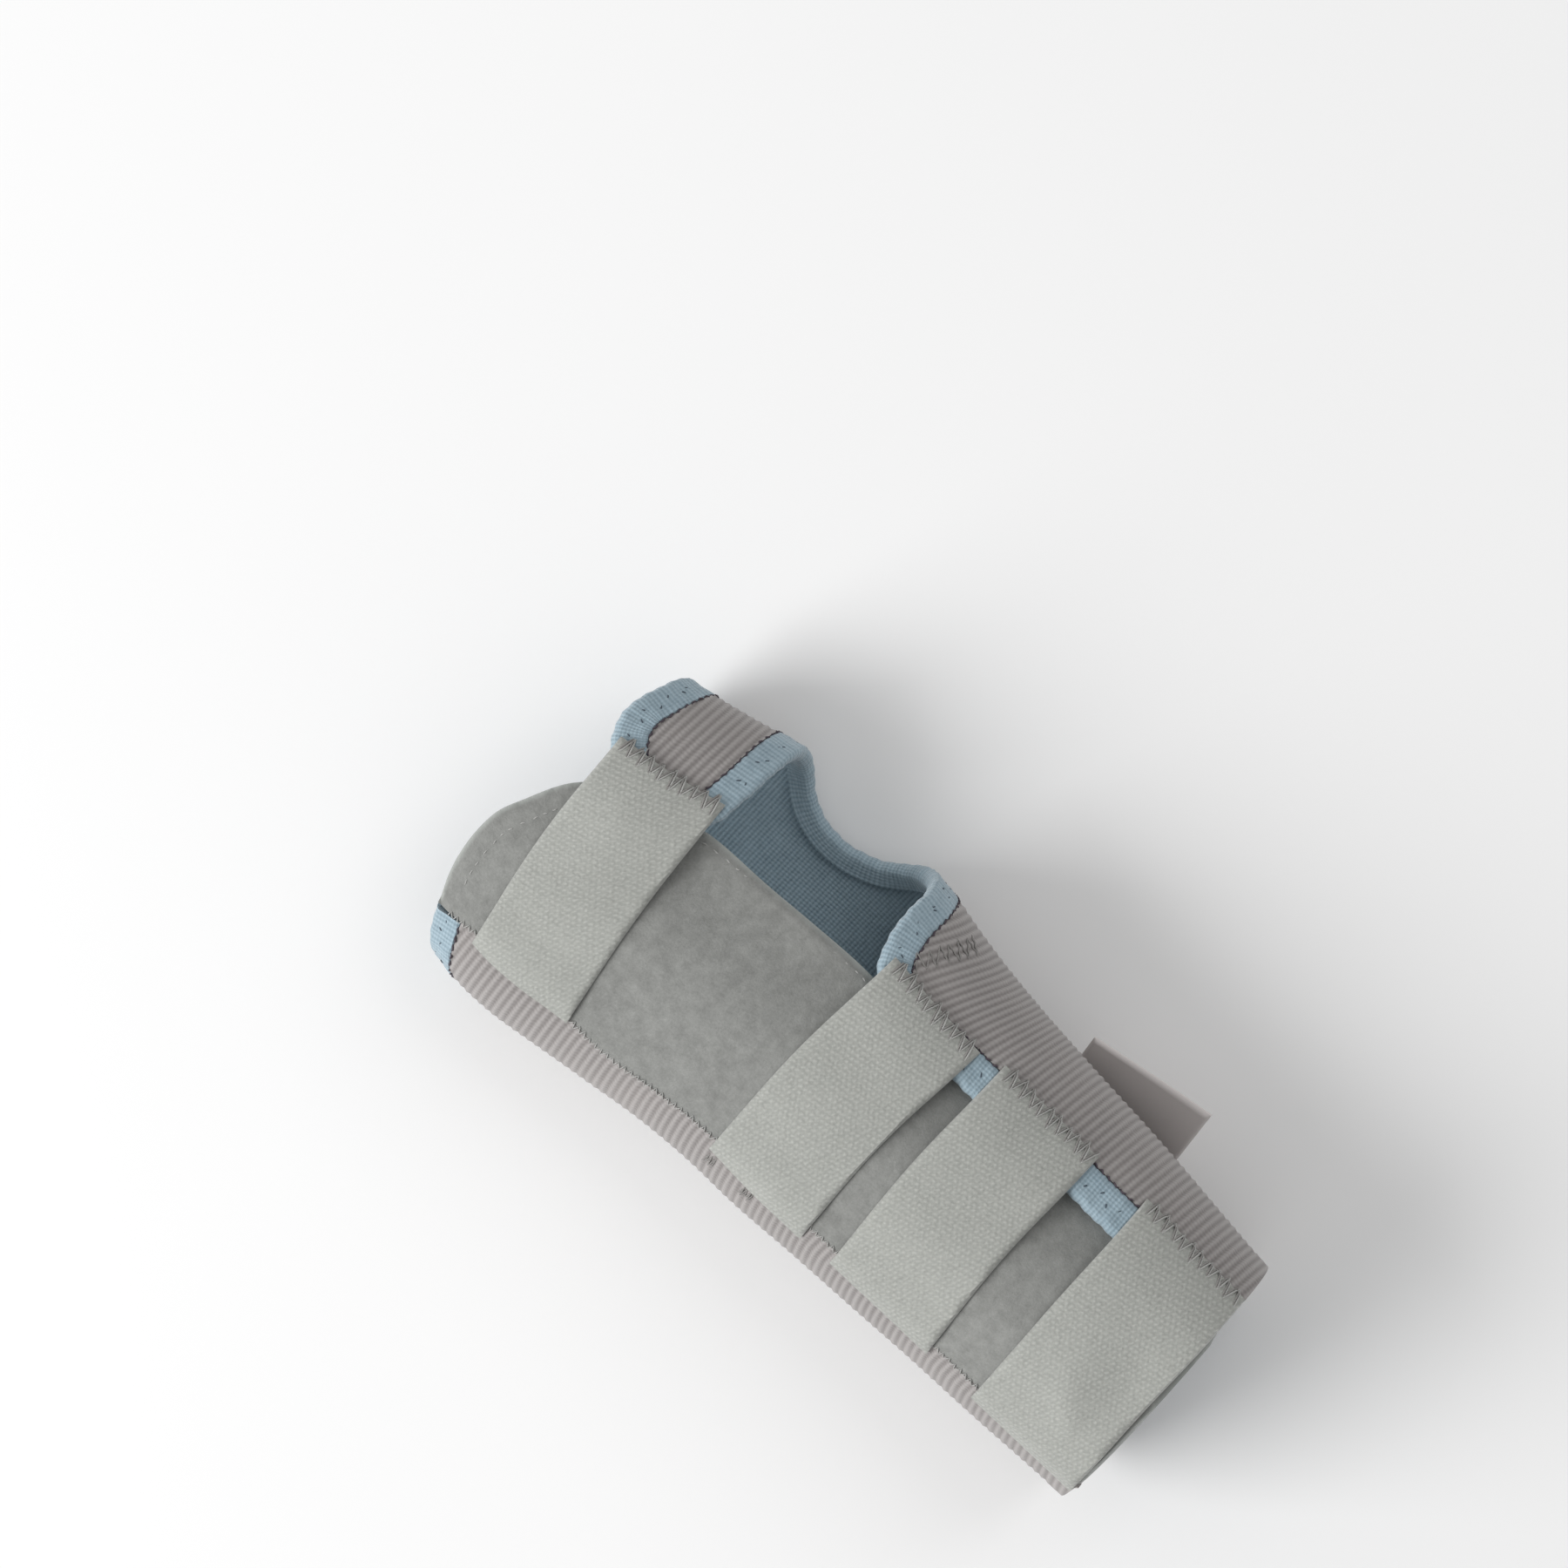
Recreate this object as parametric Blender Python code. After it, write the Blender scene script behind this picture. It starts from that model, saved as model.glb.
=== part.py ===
"""Resting hand splint for a right hand, lying on its back with the palm up.

A lined sleeve of ribbed elastic goes round the hand and the forearm and ends in a web strap and
a wing on the thumb side, with the thumb notch between them. A padded panel lies over the palm and
the inner forearm, and four straps hold the web and the wing to the seam on the little-finger side.

+X runs to the forearm, +Y to the thumb and +Z out of the palm. Every piece is laid out on the
girth of the hollow: `along` is the share of the length from the fingertip end, and `girth` is the
share of the way round, from the middle of the palm over the little-finger side (0.25), the back
(0.5) and the thumb side (0.75) to the palm again (1). Below 0 the count goes on towards the thumb.
"""
import bpy
import bmesh
import numpy as np
from mathutils import Vector
from mathutils.geometry import delaunay_2d_cdt

MM = 0.001

# Driving sizes in millimetres
LENGTH = 198.0
BREADTH = 92.0
HEIGHT = 57.0
LINING_THICK = 1.0
SLEEVE_THICK = 1.5
TAPE_THICK = 1.0
STRAP_THICK = 1.5
TAB_THICK = 1.6
PANEL_RIM_THICK = 1.2
PANEL_THICK = 3.6
TAPE_WIDTH = 7.6
TAPE_HEM = 5.0
FOLD_SLACK = 0.45         # between the lining and the tape's inner leg
GAP = 0.3

# How the cross-section is shaped
WIDEST_AT = 0.46          # height of the broadest place, as a share of the section's height
PALM_SQUARENESS = 2.4     # exponents of the superellipses above and below that place
BACK_SQUARENESS = 2.7
FLATTENED = 1.3           # how much of the back the floor presses flat
KNUCKLE_LIFT = 1.5        # how far the knuckle end of the back stands off the floor
LIFTED_UP_TO = 0.1

# Each row is a section: along, breadth, middle (both shares of BREADTH), height (of HEIGHT)
SECTIONS = (
    (0.00, 0.868, 0.046, 0.640),
    (0.05, 0.918, 0.042, 0.682),
    (0.10, 0.953, 0.042, 0.716),
    (0.15, 0.976, 0.054, 0.740),
    (0.20, 0.992, 0.074, 0.757),
    (0.28, 0.974, 0.088, 0.783),
    (0.35, 0.950, 0.098, 0.814),
    (0.43, 0.932, 0.099, 0.848),
    (0.50, 0.903, 0.083, 0.870),
    (0.60, 0.862, 0.070, 0.894),
    (0.80, 0.811, 0.056, 0.946),
    (1.00, 0.753, 0.036, 1.000),
)

# The free edge in three stretches, each row along, girth
KNUCKLE_EDGE = (
    (0.023, 0.186),
    (0.036, 0.215),
    (0.053, 0.252),
    (0.068, 0.330),
    (0.072, 0.500),
    (0.066, 0.660),
    (0.053, 0.760),
    (0.038, 0.815),
    (0.030, 0.848),
    (0.034, 0.879),
    (0.052, 0.908),
    (0.080, 0.928),
    (0.115, 0.935),
)
THUMB_EDGE = (
    (0.115, 0.935),
    (0.150, 0.936),
    (0.168, 0.932),
    (0.184, 0.921),
    (0.194, 0.905),
    (0.198, 0.883),
    (0.206, 0.805),
    (0.222, 0.735),
    (0.262, 0.684),
    (0.314, 0.669),
    (0.366, 0.684),
    (0.405, 0.735),
    (0.419, 0.805),
    (0.419, 0.870),
    (0.432, 0.909),
    (0.462, 0.932),
    (0.500, 0.936),
)
WING_EDGE = (
    (0.500, 0.936),
    (0.600, 0.931),
    (0.800, 0.930),
    (0.984, 0.925),
)
# The seam on the little-finger side, where panel and sleeve meet, each row along, girth
SEAM = (
    (0.023, 0.181),
    (0.100, 0.158),
    (0.280, 0.175),
    (0.437, 0.167),
    (0.600, 0.160),
    (0.800, 0.161),
    (1.000, 0.165),
)
# The palm panel's round end and its thumb-side edge, each row along, girth
PANEL_END = (
    (0.023, 0.181),
    (0.010, 0.150),
    (0.000, 0.090),
    (0.003, 0.050),
    (0.015, 0.018),
    (0.045, -0.041),
    (0.073, -0.066),
    (0.109, -0.081),
    (0.160, -0.083),
)
PANEL_EDGE = (
    (0.160, -0.083),
    (0.300, -0.077),
    (0.437, -0.079),
    (0.705, -0.094),
    (0.960, -0.102),
)
PANEL_CORNER = (
    (0.960, -0.102),
    (0.986, -0.095),
    (0.994, -0.070),
)
# The sleeve's hem at the forearm, each row along, girth
HEM = (
    (0.988, 0.878),
    (0.993, 0.750),
    (1.000, 0.500),
    (1.000, 0.280),
    (0.997, 0.165),
)
LINING_HEM = 0.982        # the lining stops short of the hem

# The straps: thumb-side end, little-finger-side end (girth), then where the distal and the
# proximal edge lie at the first end, halfway and at the second end (along)
STRAPS = {
    "strap_palm": (-0.112, 0.172, (0.048, 0.058, 0.083), (0.187, 0.200, 0.223)),
    "strap_wrist": (-0.105, 0.178, (0.442, 0.432, 0.437), (0.584, 0.573, 0.581)),
    "strap_middle": (-0.115, 0.174, (0.614, 0.612, 0.624), (0.760, 0.758, 0.773)),
    "strap_forearm": (-0.121, 0.176, (0.831, 0.833, 0.843), (0.987, 0.988, 0.996)),
}
STRAP_ON_WING_TO = -0.063   # a strap lies on the wing up to here and then comes down
STRAP_ON_PANEL_FROM = 0.07

# The wing and the web rise over the panel's edge between these girths
RISE_FROM, RISE_TO = 0.755, 0.895

# Where the panel's padding starts from its edge, and over how far it swells
RIM_WIDTH, SWELL_WIDTH = 4.5, 18.0

# The tab on the back: middle along, width, root on the sleeve (girth), free length at the
# middle, how much longer each millimetre nearer the forearm is, and its lean to the fingers
TAB_MIDDLE, TAB_WIDTH = 0.766, 32.0
TAB_ROOT = (0.641, 0.664)
TAB_LENGTH, TAB_SLANT, TAB_LEAN = 19.0, 0.29, -0.12

# Facets: columns along the arm, and rows round the girth that crowd where it bends
COLUMN = 10.5
ROW_SAG, ROW_MOST, TIGHTEST = 0.09, 9.0, 80
STEP_ZONE, STEP_ROW = (0.90, 0.99), 3.3
EDGE_CLEAR = 0.25       # in cells
BEND = 0.45             # a path turns at most this far in a step, in radians
STATIONS, ROUND_STEPS = 100, 360

WALL = LINING_THICK + GAP + SLEEVE_THICK
PANEL_BASE = LINING_THICK + GAP
RISE = PANEL_BASE + PANEL_RIM_THICK + GAP + TAPE_THICK + FOLD_SLACK


def smooth_column(at, knots, values):
    """Cubic through the table's values, with slopes from their neighbours."""
    knots, values = np.asarray(knots, float), np.asarray(values, float)
    slope = np.gradient(values, knots)
    i = np.clip(np.searchsorted(knots, at) - 1, 0, len(knots) - 2)
    step = knots[i + 1] - knots[i]
    f = (at - knots[i]) / step
    start = (2 * f**3 - 3 * f**2 + 1) * values[i] + (f**3 - 2 * f**2 + f) * step * slope[i]
    end = (3 * f**2 - 2 * f**3) * values[i + 1] + (f**3 - f**2) * step * slope[i + 1]
    return start + end


def ease(share):
    """Smooth step from 0 to 1."""
    share = np.clip(share, 0.0, 1.0)
    return share * share * (3.0 - 2.0 * share)


def girth_loops():
    """Hollow's own surface: one loop per station, resampled to equal lengths round it."""
    table = np.array(SECTIONS)
    angle = np.linspace(0.0, 2.0 * np.pi, 4 * ROUND_STEPS + 1)
    sine, cosine = np.sin(angle), np.cos(angle)
    loops, lengths = [], []
    for along in np.linspace(0.0, 1.0, STATIONS + 1):
        breadth, middle, height = [smooth_column(along, table[:, 0], table[:, c]) for c in (1, 2, 3)]
        half = breadth * BREADTH / 2.0 - WALL
        widest = WIDEST_AT * height * HEIGHT
        floor = WALL + KNUCKLE_LIFT * max(0.0, 1.0 - along / LIFTED_UP_TO) ** 2
        palm = height * HEIGHT - PANEL_BASE - PANEL_THICK - widest
        back = widest - floor + FLATTENED
        tall = np.where(cosine > 0.0, palm, back)
        power = np.where(cosine > 0.0, PALM_SQUARENESS, BACK_SQUARENESS)
        reach = (np.abs(sine / half) ** power + np.abs(cosine / tall) ** power) ** (-1.0 / power)
        across = middle * BREADTH - reach * sine
        up = np.maximum(widest + reach * cosine, floor)
        way = np.concatenate([[0.0], np.cumsum(np.hypot(np.diff(across), np.diff(up)))])
        even = np.linspace(0.0, way[-1], ROUND_STEPS + 1)
        loops.append([np.interp(even, way, across), np.interp(even, way, up)])
        lengths.append(way[-1])
    loops = np.array(loops)
    ring = np.concatenate([loops[:, :, -2:-1], loops, loops[:, :, 1:2]], axis=2)
    step = ring[:, :, 2:] - ring[:, :, :-2]
    step /= np.linalg.norm(step, axis=1, keepdims=True)
    outward = np.stack([step[:, 1], -step[:, 0]], axis=1)
    return loops, outward, float(np.mean(lengths))


LOOPS, OUTWARD, GIRTH = girth_loops()


def facet_rows():
    """Row number at each step round the girth, so that every row's chord sags about the same."""
    turn = np.percentile(np.linalg.norm(np.diff(OUTWARD, axis=2), axis=1), TIGHTEST, axis=0)
    step = GIRTH / ROUND_STEPS
    share = (np.arange(ROUND_STEPS) + 0.5) / ROUND_STEPS
    dense = np.maximum(np.sqrt(turn / step / (8.0 * ROW_SAG)), 1.0 / ROW_MOST)
    stepped = (share > STEP_ZONE[0]) & (share < STEP_ZONE[1])
    dense = np.where(stepped, np.maximum(dense, 1.0 / STEP_ROW), dense)
    row = np.concatenate([[0.0], np.cumsum(dense * step)])
    return row * np.round(row[-1]) / row[-1]


ROWS = facet_rows()


def skin(along, girth, depth):
    """Points `depth` millimetres outside the hollow's surface, at shares along and round it."""
    along, girth, depth = np.broadcast_arrays(along, girth, depth)
    row = np.clip(along, 0.0, 1.0) * STATIONS
    column = np.mod(girth, 1.0) * ROUND_STEPS
    i = np.minimum(row.astype(int), STATIONS - 1)
    k = np.minimum(column.astype(int), ROUND_STEPS - 1)
    f, g = row - i, column - k

    def blend(field, axis):
        low = (1 - g) * field[i, axis, k] + g * field[i, axis, k + 1]
        high = (1 - g) * field[i + 1, axis, k] + g * field[i + 1, axis, k + 1]
        return (1 - f) * low + f * high

    across = blend(LOOPS, 0) + depth * blend(OUTWARD, 0)
    up = blend(LOOPS, 1) + depth * blend(OUTWARD, 1)
    return np.stack([(along - 0.5) * LENGTH, across, up], axis=-1)


def flat(rows):
    """Shares along and round as millimetres on the unrolled surface."""
    return np.asarray(rows, float) * (LENGTH, GIRTH)


def wing_rise(girth):
    """How far the wing and the web stand off at this girth, to clear the panel's edge."""
    return RISE * ease((girth - RISE_FROM) / (RISE_TO - RISE_FROM))


def to_cells(spots):
    """Millimetres on the unrolled surface as facet columns and rows."""
    share = spots[:, 1] / GIRTH
    turns = np.floor(share)
    row = np.interp(share - turns, np.linspace(0.0, 1.0, ROUND_STEPS + 1), ROWS)
    return np.stack([spots[:, 0] / COLUMN, row + turns * ROWS[-1]], axis=1)


def from_cells(cells):
    """Facet columns and rows as millimetres on the unrolled surface."""
    turns = np.floor(cells[:, 1] / ROWS[-1])
    share = np.interp(cells[:, 1] - turns * ROWS[-1], ROWS, np.linspace(0.0, 1.0, ROUND_STEPS + 1))
    return np.stack([cells[:, 0] * COLUMN, (share + turns) * GIRTH], axis=1)


def path_length(points):
    """Length of the way to each point."""
    legs = np.linalg.norm(np.diff(points, axis=0), axis=1)
    return np.concatenate([[0.0], np.cumsum(legs)])


def smooth_path(rows, step=1.0):
    """Smooth curve through the rows on the unrolled surface, with a point every `step` cells."""
    knots = flat(rows)
    way = path_length(knots)
    dense = np.linspace(0.0, way[-1], 400)
    fine = np.stack([smooth_column(dense, way, knots[:, c]) for c in (0, 1)], axis=1)
    heading = np.unwrap(np.arctan2(*np.gradient(fine, axis=0).T))
    bends = np.concatenate([[0.0], np.cumsum(np.abs(np.diff(heading)))])
    run = path_length(to_cells(fine)) + bends * step / BEND
    even = np.linspace(0.0, run[-1], max(2, int(np.ceil(run[-1] / step))) + 1)
    return np.stack([np.interp(even, run, fine[:, c]) for c in (0, 1)], axis=1)


def inset(path, distance):
    """The path moved to the cloth's side by `distance`, without the loops of tight corners."""
    tangent = np.gradient(path, axis=0)
    tangent /= np.linalg.norm(tangent, axis=1, keepdims=True)
    moved = path + distance * np.stack([tangent[:, 1], -tangent[:, 0]], axis=1)
    clear = distance_to(moved, path, closed=False) > 0.9 * distance
    return moved[clear]


def distance_to(points, line, closed=True):
    """Distance from each point to the polyline."""
    start = line if closed else line[:-1]
    end = np.roll(line, -1, axis=0) if closed else line[1:]
    leg = end - start
    offset = points[:, None] - start[None]
    share = (offset * leg).sum(axis=2) / np.maximum((leg * leg).sum(axis=1), 1e-9)
    nearest = offset - np.clip(share, 0.0, 1.0)[..., None] * leg
    return np.linalg.norm(nearest, axis=2).min(axis=1)


def inside(points, outline):
    """Which points lie inside the closed outline, by counting crossings."""
    x, y = points[:, 0:1], points[:, 1:2]
    x0, y0 = outline[:, 0], outline[:, 1]
    x1, y1 = np.roll(x0, -1), np.roll(y0, -1)
    crosses = (y0 > y) != (y1 > y)
    drop = np.where(y1 == y0, 1.0, y1 - y0)
    at = x0 + (y - y0) / drop * (x1 - x0)
    return (crosses & (x < at)).sum(axis=1) % 2 == 1


def new_object(name, points, faces, look):
    """Closed mesh object from points in millimetres, faces turned outwards."""
    mesh = bpy.data.meshes.new(name)
    mesh.from_pydata([Vector(p) * MM for p in points], [], faces)
    work = bmesh.new()
    work.from_mesh(mesh)
    bmesh.ops.recalc_face_normals(work, faces=work.faces)
    work.to_mesh(mesh)
    work.free()
    mesh.shade_smooth()
    mesh.set_sharp_from_angle(angle=0.7)
    mesh.materials.append(look)
    made = bpy.data.objects.new(name, mesh)
    bpy.context.collection.objects.link(made)
    return made


def cut_sheet(name, outline, low, high, look):
    """Cloth cut to the outline and laid on the skin, from depth `low` to depth `high`."""
    edge = to_cells(outline)
    first = np.floor(edge.min(axis=0))
    last = np.ceil(edge.max(axis=0))
    columns, rows = np.meshgrid(np.arange(first[0], last[0]), np.arange(first[1], last[1]))
    lattice = np.stack([columns.ravel(), rows.ravel()], axis=1)
    lattice = lattice[inside(lattice, edge)]
    lattice = lattice[distance_to(lattice, edge) > EDGE_CLEAR]
    spots = [Vector(p) for p in np.concatenate([edge, lattice])]
    spots, _, faces, _, _, _ = delaunay_2d_cdt(spots, [], [list(range(len(edge)))], 1, 1e-5)
    along, girth = (from_cells(np.array([tuple(p) for p in spots])) / (LENGTH, GIRTH)).T
    points = np.concatenate([skin(along, girth, low(along, girth)),
                             skin(along, girth, high(along, girth))])
    count = len(spots)
    closed = [tuple(face) for face in faces]
    closed += [tuple(count + i for i in reversed(face)) for face in faces]
    closed += [(a, b, count + b, count + a) for a, b in open_edges(faces)]
    return new_object(name, points, closed, look)


def open_edges(faces):
    """Directed edges that only one face uses."""
    used = {(a, b) for face in faces for a, b in zip(face, [*face[1:], face[0]])}
    return [(b, a) for a, b in used if (b, a) not in used]


def layer(depth):
    """Constant depth, raised where the wing and the web go over the panel's edge."""
    return lambda along, girth: depth + wing_rise(girth)


def panel_outline():
    """The panel's outline: round end, thumb-side edge, corner, forearm end and seam."""
    end = smooth_path(PANEL_END, 0.5)
    side = smooth_path(PANEL_EDGE)
    corner = smooth_path(PANEL_CORNER, 0.5)
    seam = smooth_path(SEAM, 0.5) - (0.0, GAP / 2.0)
    end[0, 1] -= GAP / 2.0
    last = seam[-1] * (0.999, 1.0)
    steps = int(np.abs(to_cells(np.stack([last, corner[-1]]))[:, 1] @ (1, -1)))
    foot = corner[-1] + (last - corner[-1]) * np.linspace(0.0, 1.0, steps + 1)[1:, None]
    return np.concatenate([end[1:], side[1:], corner[1:], foot, seam[:-1][::-1]])


PANEL = panel_outline()


def panel_top(along, girth):
    """Outer depth of the panel: a flat sewn rim, and padding that swells inside it."""
    spots = np.stack([np.ravel(along) * LENGTH, np.ravel(girth) * GIRTH], axis=1)
    deep = np.where(inside(spots, PANEL), distance_to(spots, PANEL), 0.0)
    swell = ease((deep - RIM_WIDTH) / SWELL_WIDTH).reshape(np.shape(along))
    return PANEL_BASE + PANEL_RIM_THICK + (PANEL_THICK - PANEL_RIM_THICK) * swell


def build_panel(look):
    def base(along, girth):
        return np.full(np.shape(along), PANEL_BASE)
    return cut_sheet("palm_panel", PANEL, base, panel_top, look)


EDGES = {
    "knuckle_binding": smooth_path(KNUCKLE_EDGE),
    "thumb_binding": smooth_path(THUMB_EDGE, 0.8),
    "wing_binding": smooth_path(WING_EDGE),
}


def free_edge():
    knuckle, thumb, wing = EDGES.values()
    return np.concatenate([knuckle, thumb[1:], wing[1:]])


def build_sleeve(look):
    """The ribbed outer cloth, from the seam round the back to the edge tape."""
    cut = inset(free_edge(), TAPE_WIDTH + GAP)
    seam = smooth_path(SEAM, 0.5) + (0.0, GAP / 2.0)
    start = np.array([[cut[0, 0], np.interp(cut[0, 0], seam[:, 0], seam[:, 1])]])
    seam = seam[seam[:, 0] > cut[0, 0] + 1.0]
    hem = smooth_path(HEM)
    cut = cut[cut[:, 0] < hem[0, 0] - 1.0]
    outline = np.concatenate([start, cut[1:], hem[:-1], seam[::-1]])
    return cut_sheet("sleeve", outline, layer(PANEL_BASE), layer(WALL), look)


def build_lining(look):
    """The knitted lining, from under the panel round the back to inside the edge tape."""
    cut = inset(free_edge(), TAPE_THICK + GAP)
    under = inset(smooth_path(PANEL_END, 0.5)[::-1], 1.0)
    side = smooth_path(PANEL_EDGE) + (0.0, 1.0)
    hem_at = LINING_HEM * LENGTH
    ends = [(hem_at, np.interp(hem_at, line[-5:, 0], line[-5:, 1])) for line in (cut, side)]
    hem = smooth_path(np.array(ends) / (LENGTH, GIRTH))
    cut, side = [line[line[:, 0] < hem_at - 1.0] for line in (cut, side)]
    outline = np.concatenate([cut, hem, side[::-1], under[1:-1]])
    return cut_sheet("lining", outline, layer(0.0), layer(LINING_THICK), look)


def fold_profile():
    """Section of the folded tape: inwards from the edge, and depth. It opens inwards."""
    outer, inner = WALL, -FOLD_SLACK - TAPE_THICK
    half, nose = 0.5 * TAPE_WIDTH, 0.4 * TAPE_THICK
    return np.array([
        (TAPE_WIDTH, outer), (half, outer), (nose, outer), (0.0, outer - nose),
        (0.0, inner + nose), (nose, inner), (TAPE_HEM, inner), (TAPE_HEM, -FOLD_SLACK),
        (TAPE_THICK, -FOLD_SLACK), (TAPE_THICK, PANEL_BASE), (half, PANEL_BASE), (TAPE_WIDTH, PANEL_BASE),
    ])


def folded_tape(name, path, whole, look):
    """Tape folded round the free edge along `path`, a stretch of the whole edge."""
    tangent = np.gradient(whole, axis=0)
    tangent /= np.linalg.norm(tangent, axis=1, keepdims=True)
    inward = np.stack([tangent[:, 1], -tangent[:, 0]], axis=1)
    first = int(np.abs(whole - path[0]).sum(axis=1).argmin())
    inward = inward[first:first + len(path)]
    path = path.copy()
    lead = path[1] - path[0]
    path[0] += lead * (GAP / 2.0) / np.linalg.norm(lead)
    lead = path[-2] - path[-1]
    path[-1] += lead * (GAP / 2.0) / np.linalg.norm(lead)
    profile = fold_profile()
    spots = path[:, None] + inward[:, None] * profile[None, :, 0:1]
    along, girth = spots[..., 0] / LENGTH, spots[..., 1] / GIRTH
    points = skin(along, girth, profile[None, :, 1] + wing_rise(girth)).reshape(-1, 3)
    sides, rows = len(profile), len(path)
    faces = []
    for i in range(rows - 1):
        for k in range(sides):
            a, b = i * sides + k, i * sides + (k + 1) % sides
            faces.append((a, b, b + sides, a + sides))
    faces.append(tuple(range(sides)))
    faces.append(tuple(reversed(range((rows - 1) * sides, rows * sides))))
    return new_object(name, points, faces, look)


def strap_base(along, girth):
    """Depth on which a strap lies: the wing at its thumb end, then the panel, then the sleeve."""
    on_wing = WALL + wing_rise(girth + 1.0)
    on_panel = np.maximum(panel_top(along, girth), WALL)
    down = (girth - STRAP_ON_WING_TO) / (STRAP_ON_PANEL_FROM - STRAP_ON_WING_TO)
    return on_wing + (on_panel - on_wing) * ease(down) + GAP


def build_strap(name, row, look):
    """Strap cut between its two long edges, each a parabola through three places."""
    first, last, distal, proximal = row
    middle = (first + last) / 2.0

    def long_edge(places):
        return smooth_path(list(zip(places, (first, middle, last))))

    there, back = long_edge(distal), long_edge(proximal)[::-1]
    outline = np.concatenate([there, [(there[-1] + back[0]) / 2.0], back,
                              [(there[0] + back[-1]) / 2.0]])

    def top(along, girth):
        return strap_base(along, girth) + STRAP_THICK

    return cut_sheet(name, outline, strap_base, top, look)


def grid_faces(lengths, widths):
    """Faces of a closed slab made of two equal grids of points, lower one first."""
    row = widths + 1
    count = (lengths + 1) * row
    cells = [(i * row + k, i * row + k + 1, (i + 1) * row + k + 1, (i + 1) * row + k)
             for i in range(lengths) for k in range(widths)]
    upper = [tuple(count + v for v in reversed(cell)) for cell in cells]
    return cells + upper + [(a, b, count + b, count + a) for a, b in open_edges(cells)]


def build_tab(look):
    """Strap end sewn flat to the back on the thumb side, leaving the sleeve along its tangent."""
    rows_on, rows_off, columns = 3, 3, 4
    across = np.linspace(-0.5, 0.5, columns + 1) * TAB_WIDTH
    along = TAB_MIDDLE + across / LENGTH
    girth = np.linspace(*TAB_ROOT, rows_on + 1)[:, None]
    low = skin(along, girth, WALL + GAP)
    high = skin(along, girth, WALL + GAP + TAB_THICK)
    ahead = skin(along[0], TAB_ROOT[1] + 0.002, WALL + GAP) - low[-1, 0]
    ahead /= np.linalg.norm(ahead)
    ahead[0] = TAB_LEAN
    free = np.linspace(0.0, 1.0, rows_off + 1)[1:, None] * (TAB_LENGTH + TAB_SLANT * across)
    low = np.concatenate([low, low[-1] + free[..., None] * ahead])
    high = np.concatenate([high, high[-1] + free[..., None] * ahead])
    points = np.concatenate([low.reshape(-1, 3), high.reshape(-1, 3)])
    return new_object("back_tab", points, grid_faces(rows_on + rows_off, columns), look)


def cloth(name, colour, roughness):
    """Plain cloth of one colour."""
    look = bpy.data.materials.new(name)
    look.use_nodes = True
    shader = look.node_tree.nodes["Principled BSDF"]
    shader.inputs["Base Color"].default_value = (*colour, 1.0)
    shader.inputs["Roughness"].default_value = roughness
    shader.inputs["Metallic"].default_value = 0.0
    return look


def stand_on_origin(pieces):
    """Move all pieces so that the middle of the whole footprint is the origin, at floor level."""
    corners = np.array([v.co for piece in pieces for v in piece.data.vertices])
    low, high = corners.min(axis=0), corners.max(axis=0)
    shift = Vector((-(low[0] + high[0]) / 2.0, -(low[1] + high[1]) / 2.0, -low[2]))
    for piece in pieces:
        for vertex in piece.data.vertices:
            vertex.co += shift


def build():
    for old in list(bpy.data.objects):
        bpy.data.objects.remove(old)
    ribbed = cloth("ribbed elastic", (0.26, 0.24, 0.23), 0.9)
    knit = cloth("blue knit", (0.28, 0.42, 0.50), 0.85)
    velour = cloth("grey velour", (0.27, 0.27, 0.26), 0.95)
    webbing = cloth("light grey strap", (0.40, 0.41, 0.39), 0.9)
    smooth_end = cloth("smooth strap end", (0.20, 0.18, 0.17), 0.7)
    pieces = [build_sleeve(ribbed), build_lining(knit), build_panel(velour)]
    whole = free_edge()
    pieces += [folded_tape(name, path, whole, knit) for name, path in EDGES.items()]
    pieces += [build_strap(name, row, webbing) for name, row in STRAPS.items()]
    pieces.append(build_tab(smooth_end))
    stand_on_origin(pieces)


build()
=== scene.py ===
"""Looks for the resting hand splint, a soft right-hand brace that lies palm up on its back."""

import bmesh
import bpy
import numpy as np
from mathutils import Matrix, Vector
from mathutils.geometry import delaunay_2d_cdt


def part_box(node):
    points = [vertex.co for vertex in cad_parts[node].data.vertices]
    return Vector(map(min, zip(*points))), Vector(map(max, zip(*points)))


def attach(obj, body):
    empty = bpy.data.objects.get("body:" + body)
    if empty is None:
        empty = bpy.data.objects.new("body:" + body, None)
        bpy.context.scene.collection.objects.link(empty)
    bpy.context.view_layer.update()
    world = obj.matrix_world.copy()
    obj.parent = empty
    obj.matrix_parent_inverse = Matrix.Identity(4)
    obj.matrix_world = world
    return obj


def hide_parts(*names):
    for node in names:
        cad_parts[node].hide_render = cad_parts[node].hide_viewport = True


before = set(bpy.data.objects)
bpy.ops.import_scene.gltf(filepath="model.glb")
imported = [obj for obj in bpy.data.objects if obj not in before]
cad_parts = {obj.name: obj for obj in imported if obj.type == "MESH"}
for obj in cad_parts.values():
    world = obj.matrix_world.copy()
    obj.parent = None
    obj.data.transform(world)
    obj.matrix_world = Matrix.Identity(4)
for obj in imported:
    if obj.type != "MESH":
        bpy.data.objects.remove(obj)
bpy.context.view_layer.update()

# Ribbed sleeve
# Grey-brown elastic knitted in ribs that run round the arm, one cut piece from the seam on the
# little-finger side round the back to the thumb side. It is cut flat and wrapped over the lining.
LENGTH, BREADTH, HEIGHT = 198.0, 92.0, 57.0
LINING_THICK, SLEEVE_THICK, GAP = 1.0, 1.5, 0.3
TAPE_THICK, TAPE_WIDTH, FOLD_SLACK = 1.0, 7.6, 0.45
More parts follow.
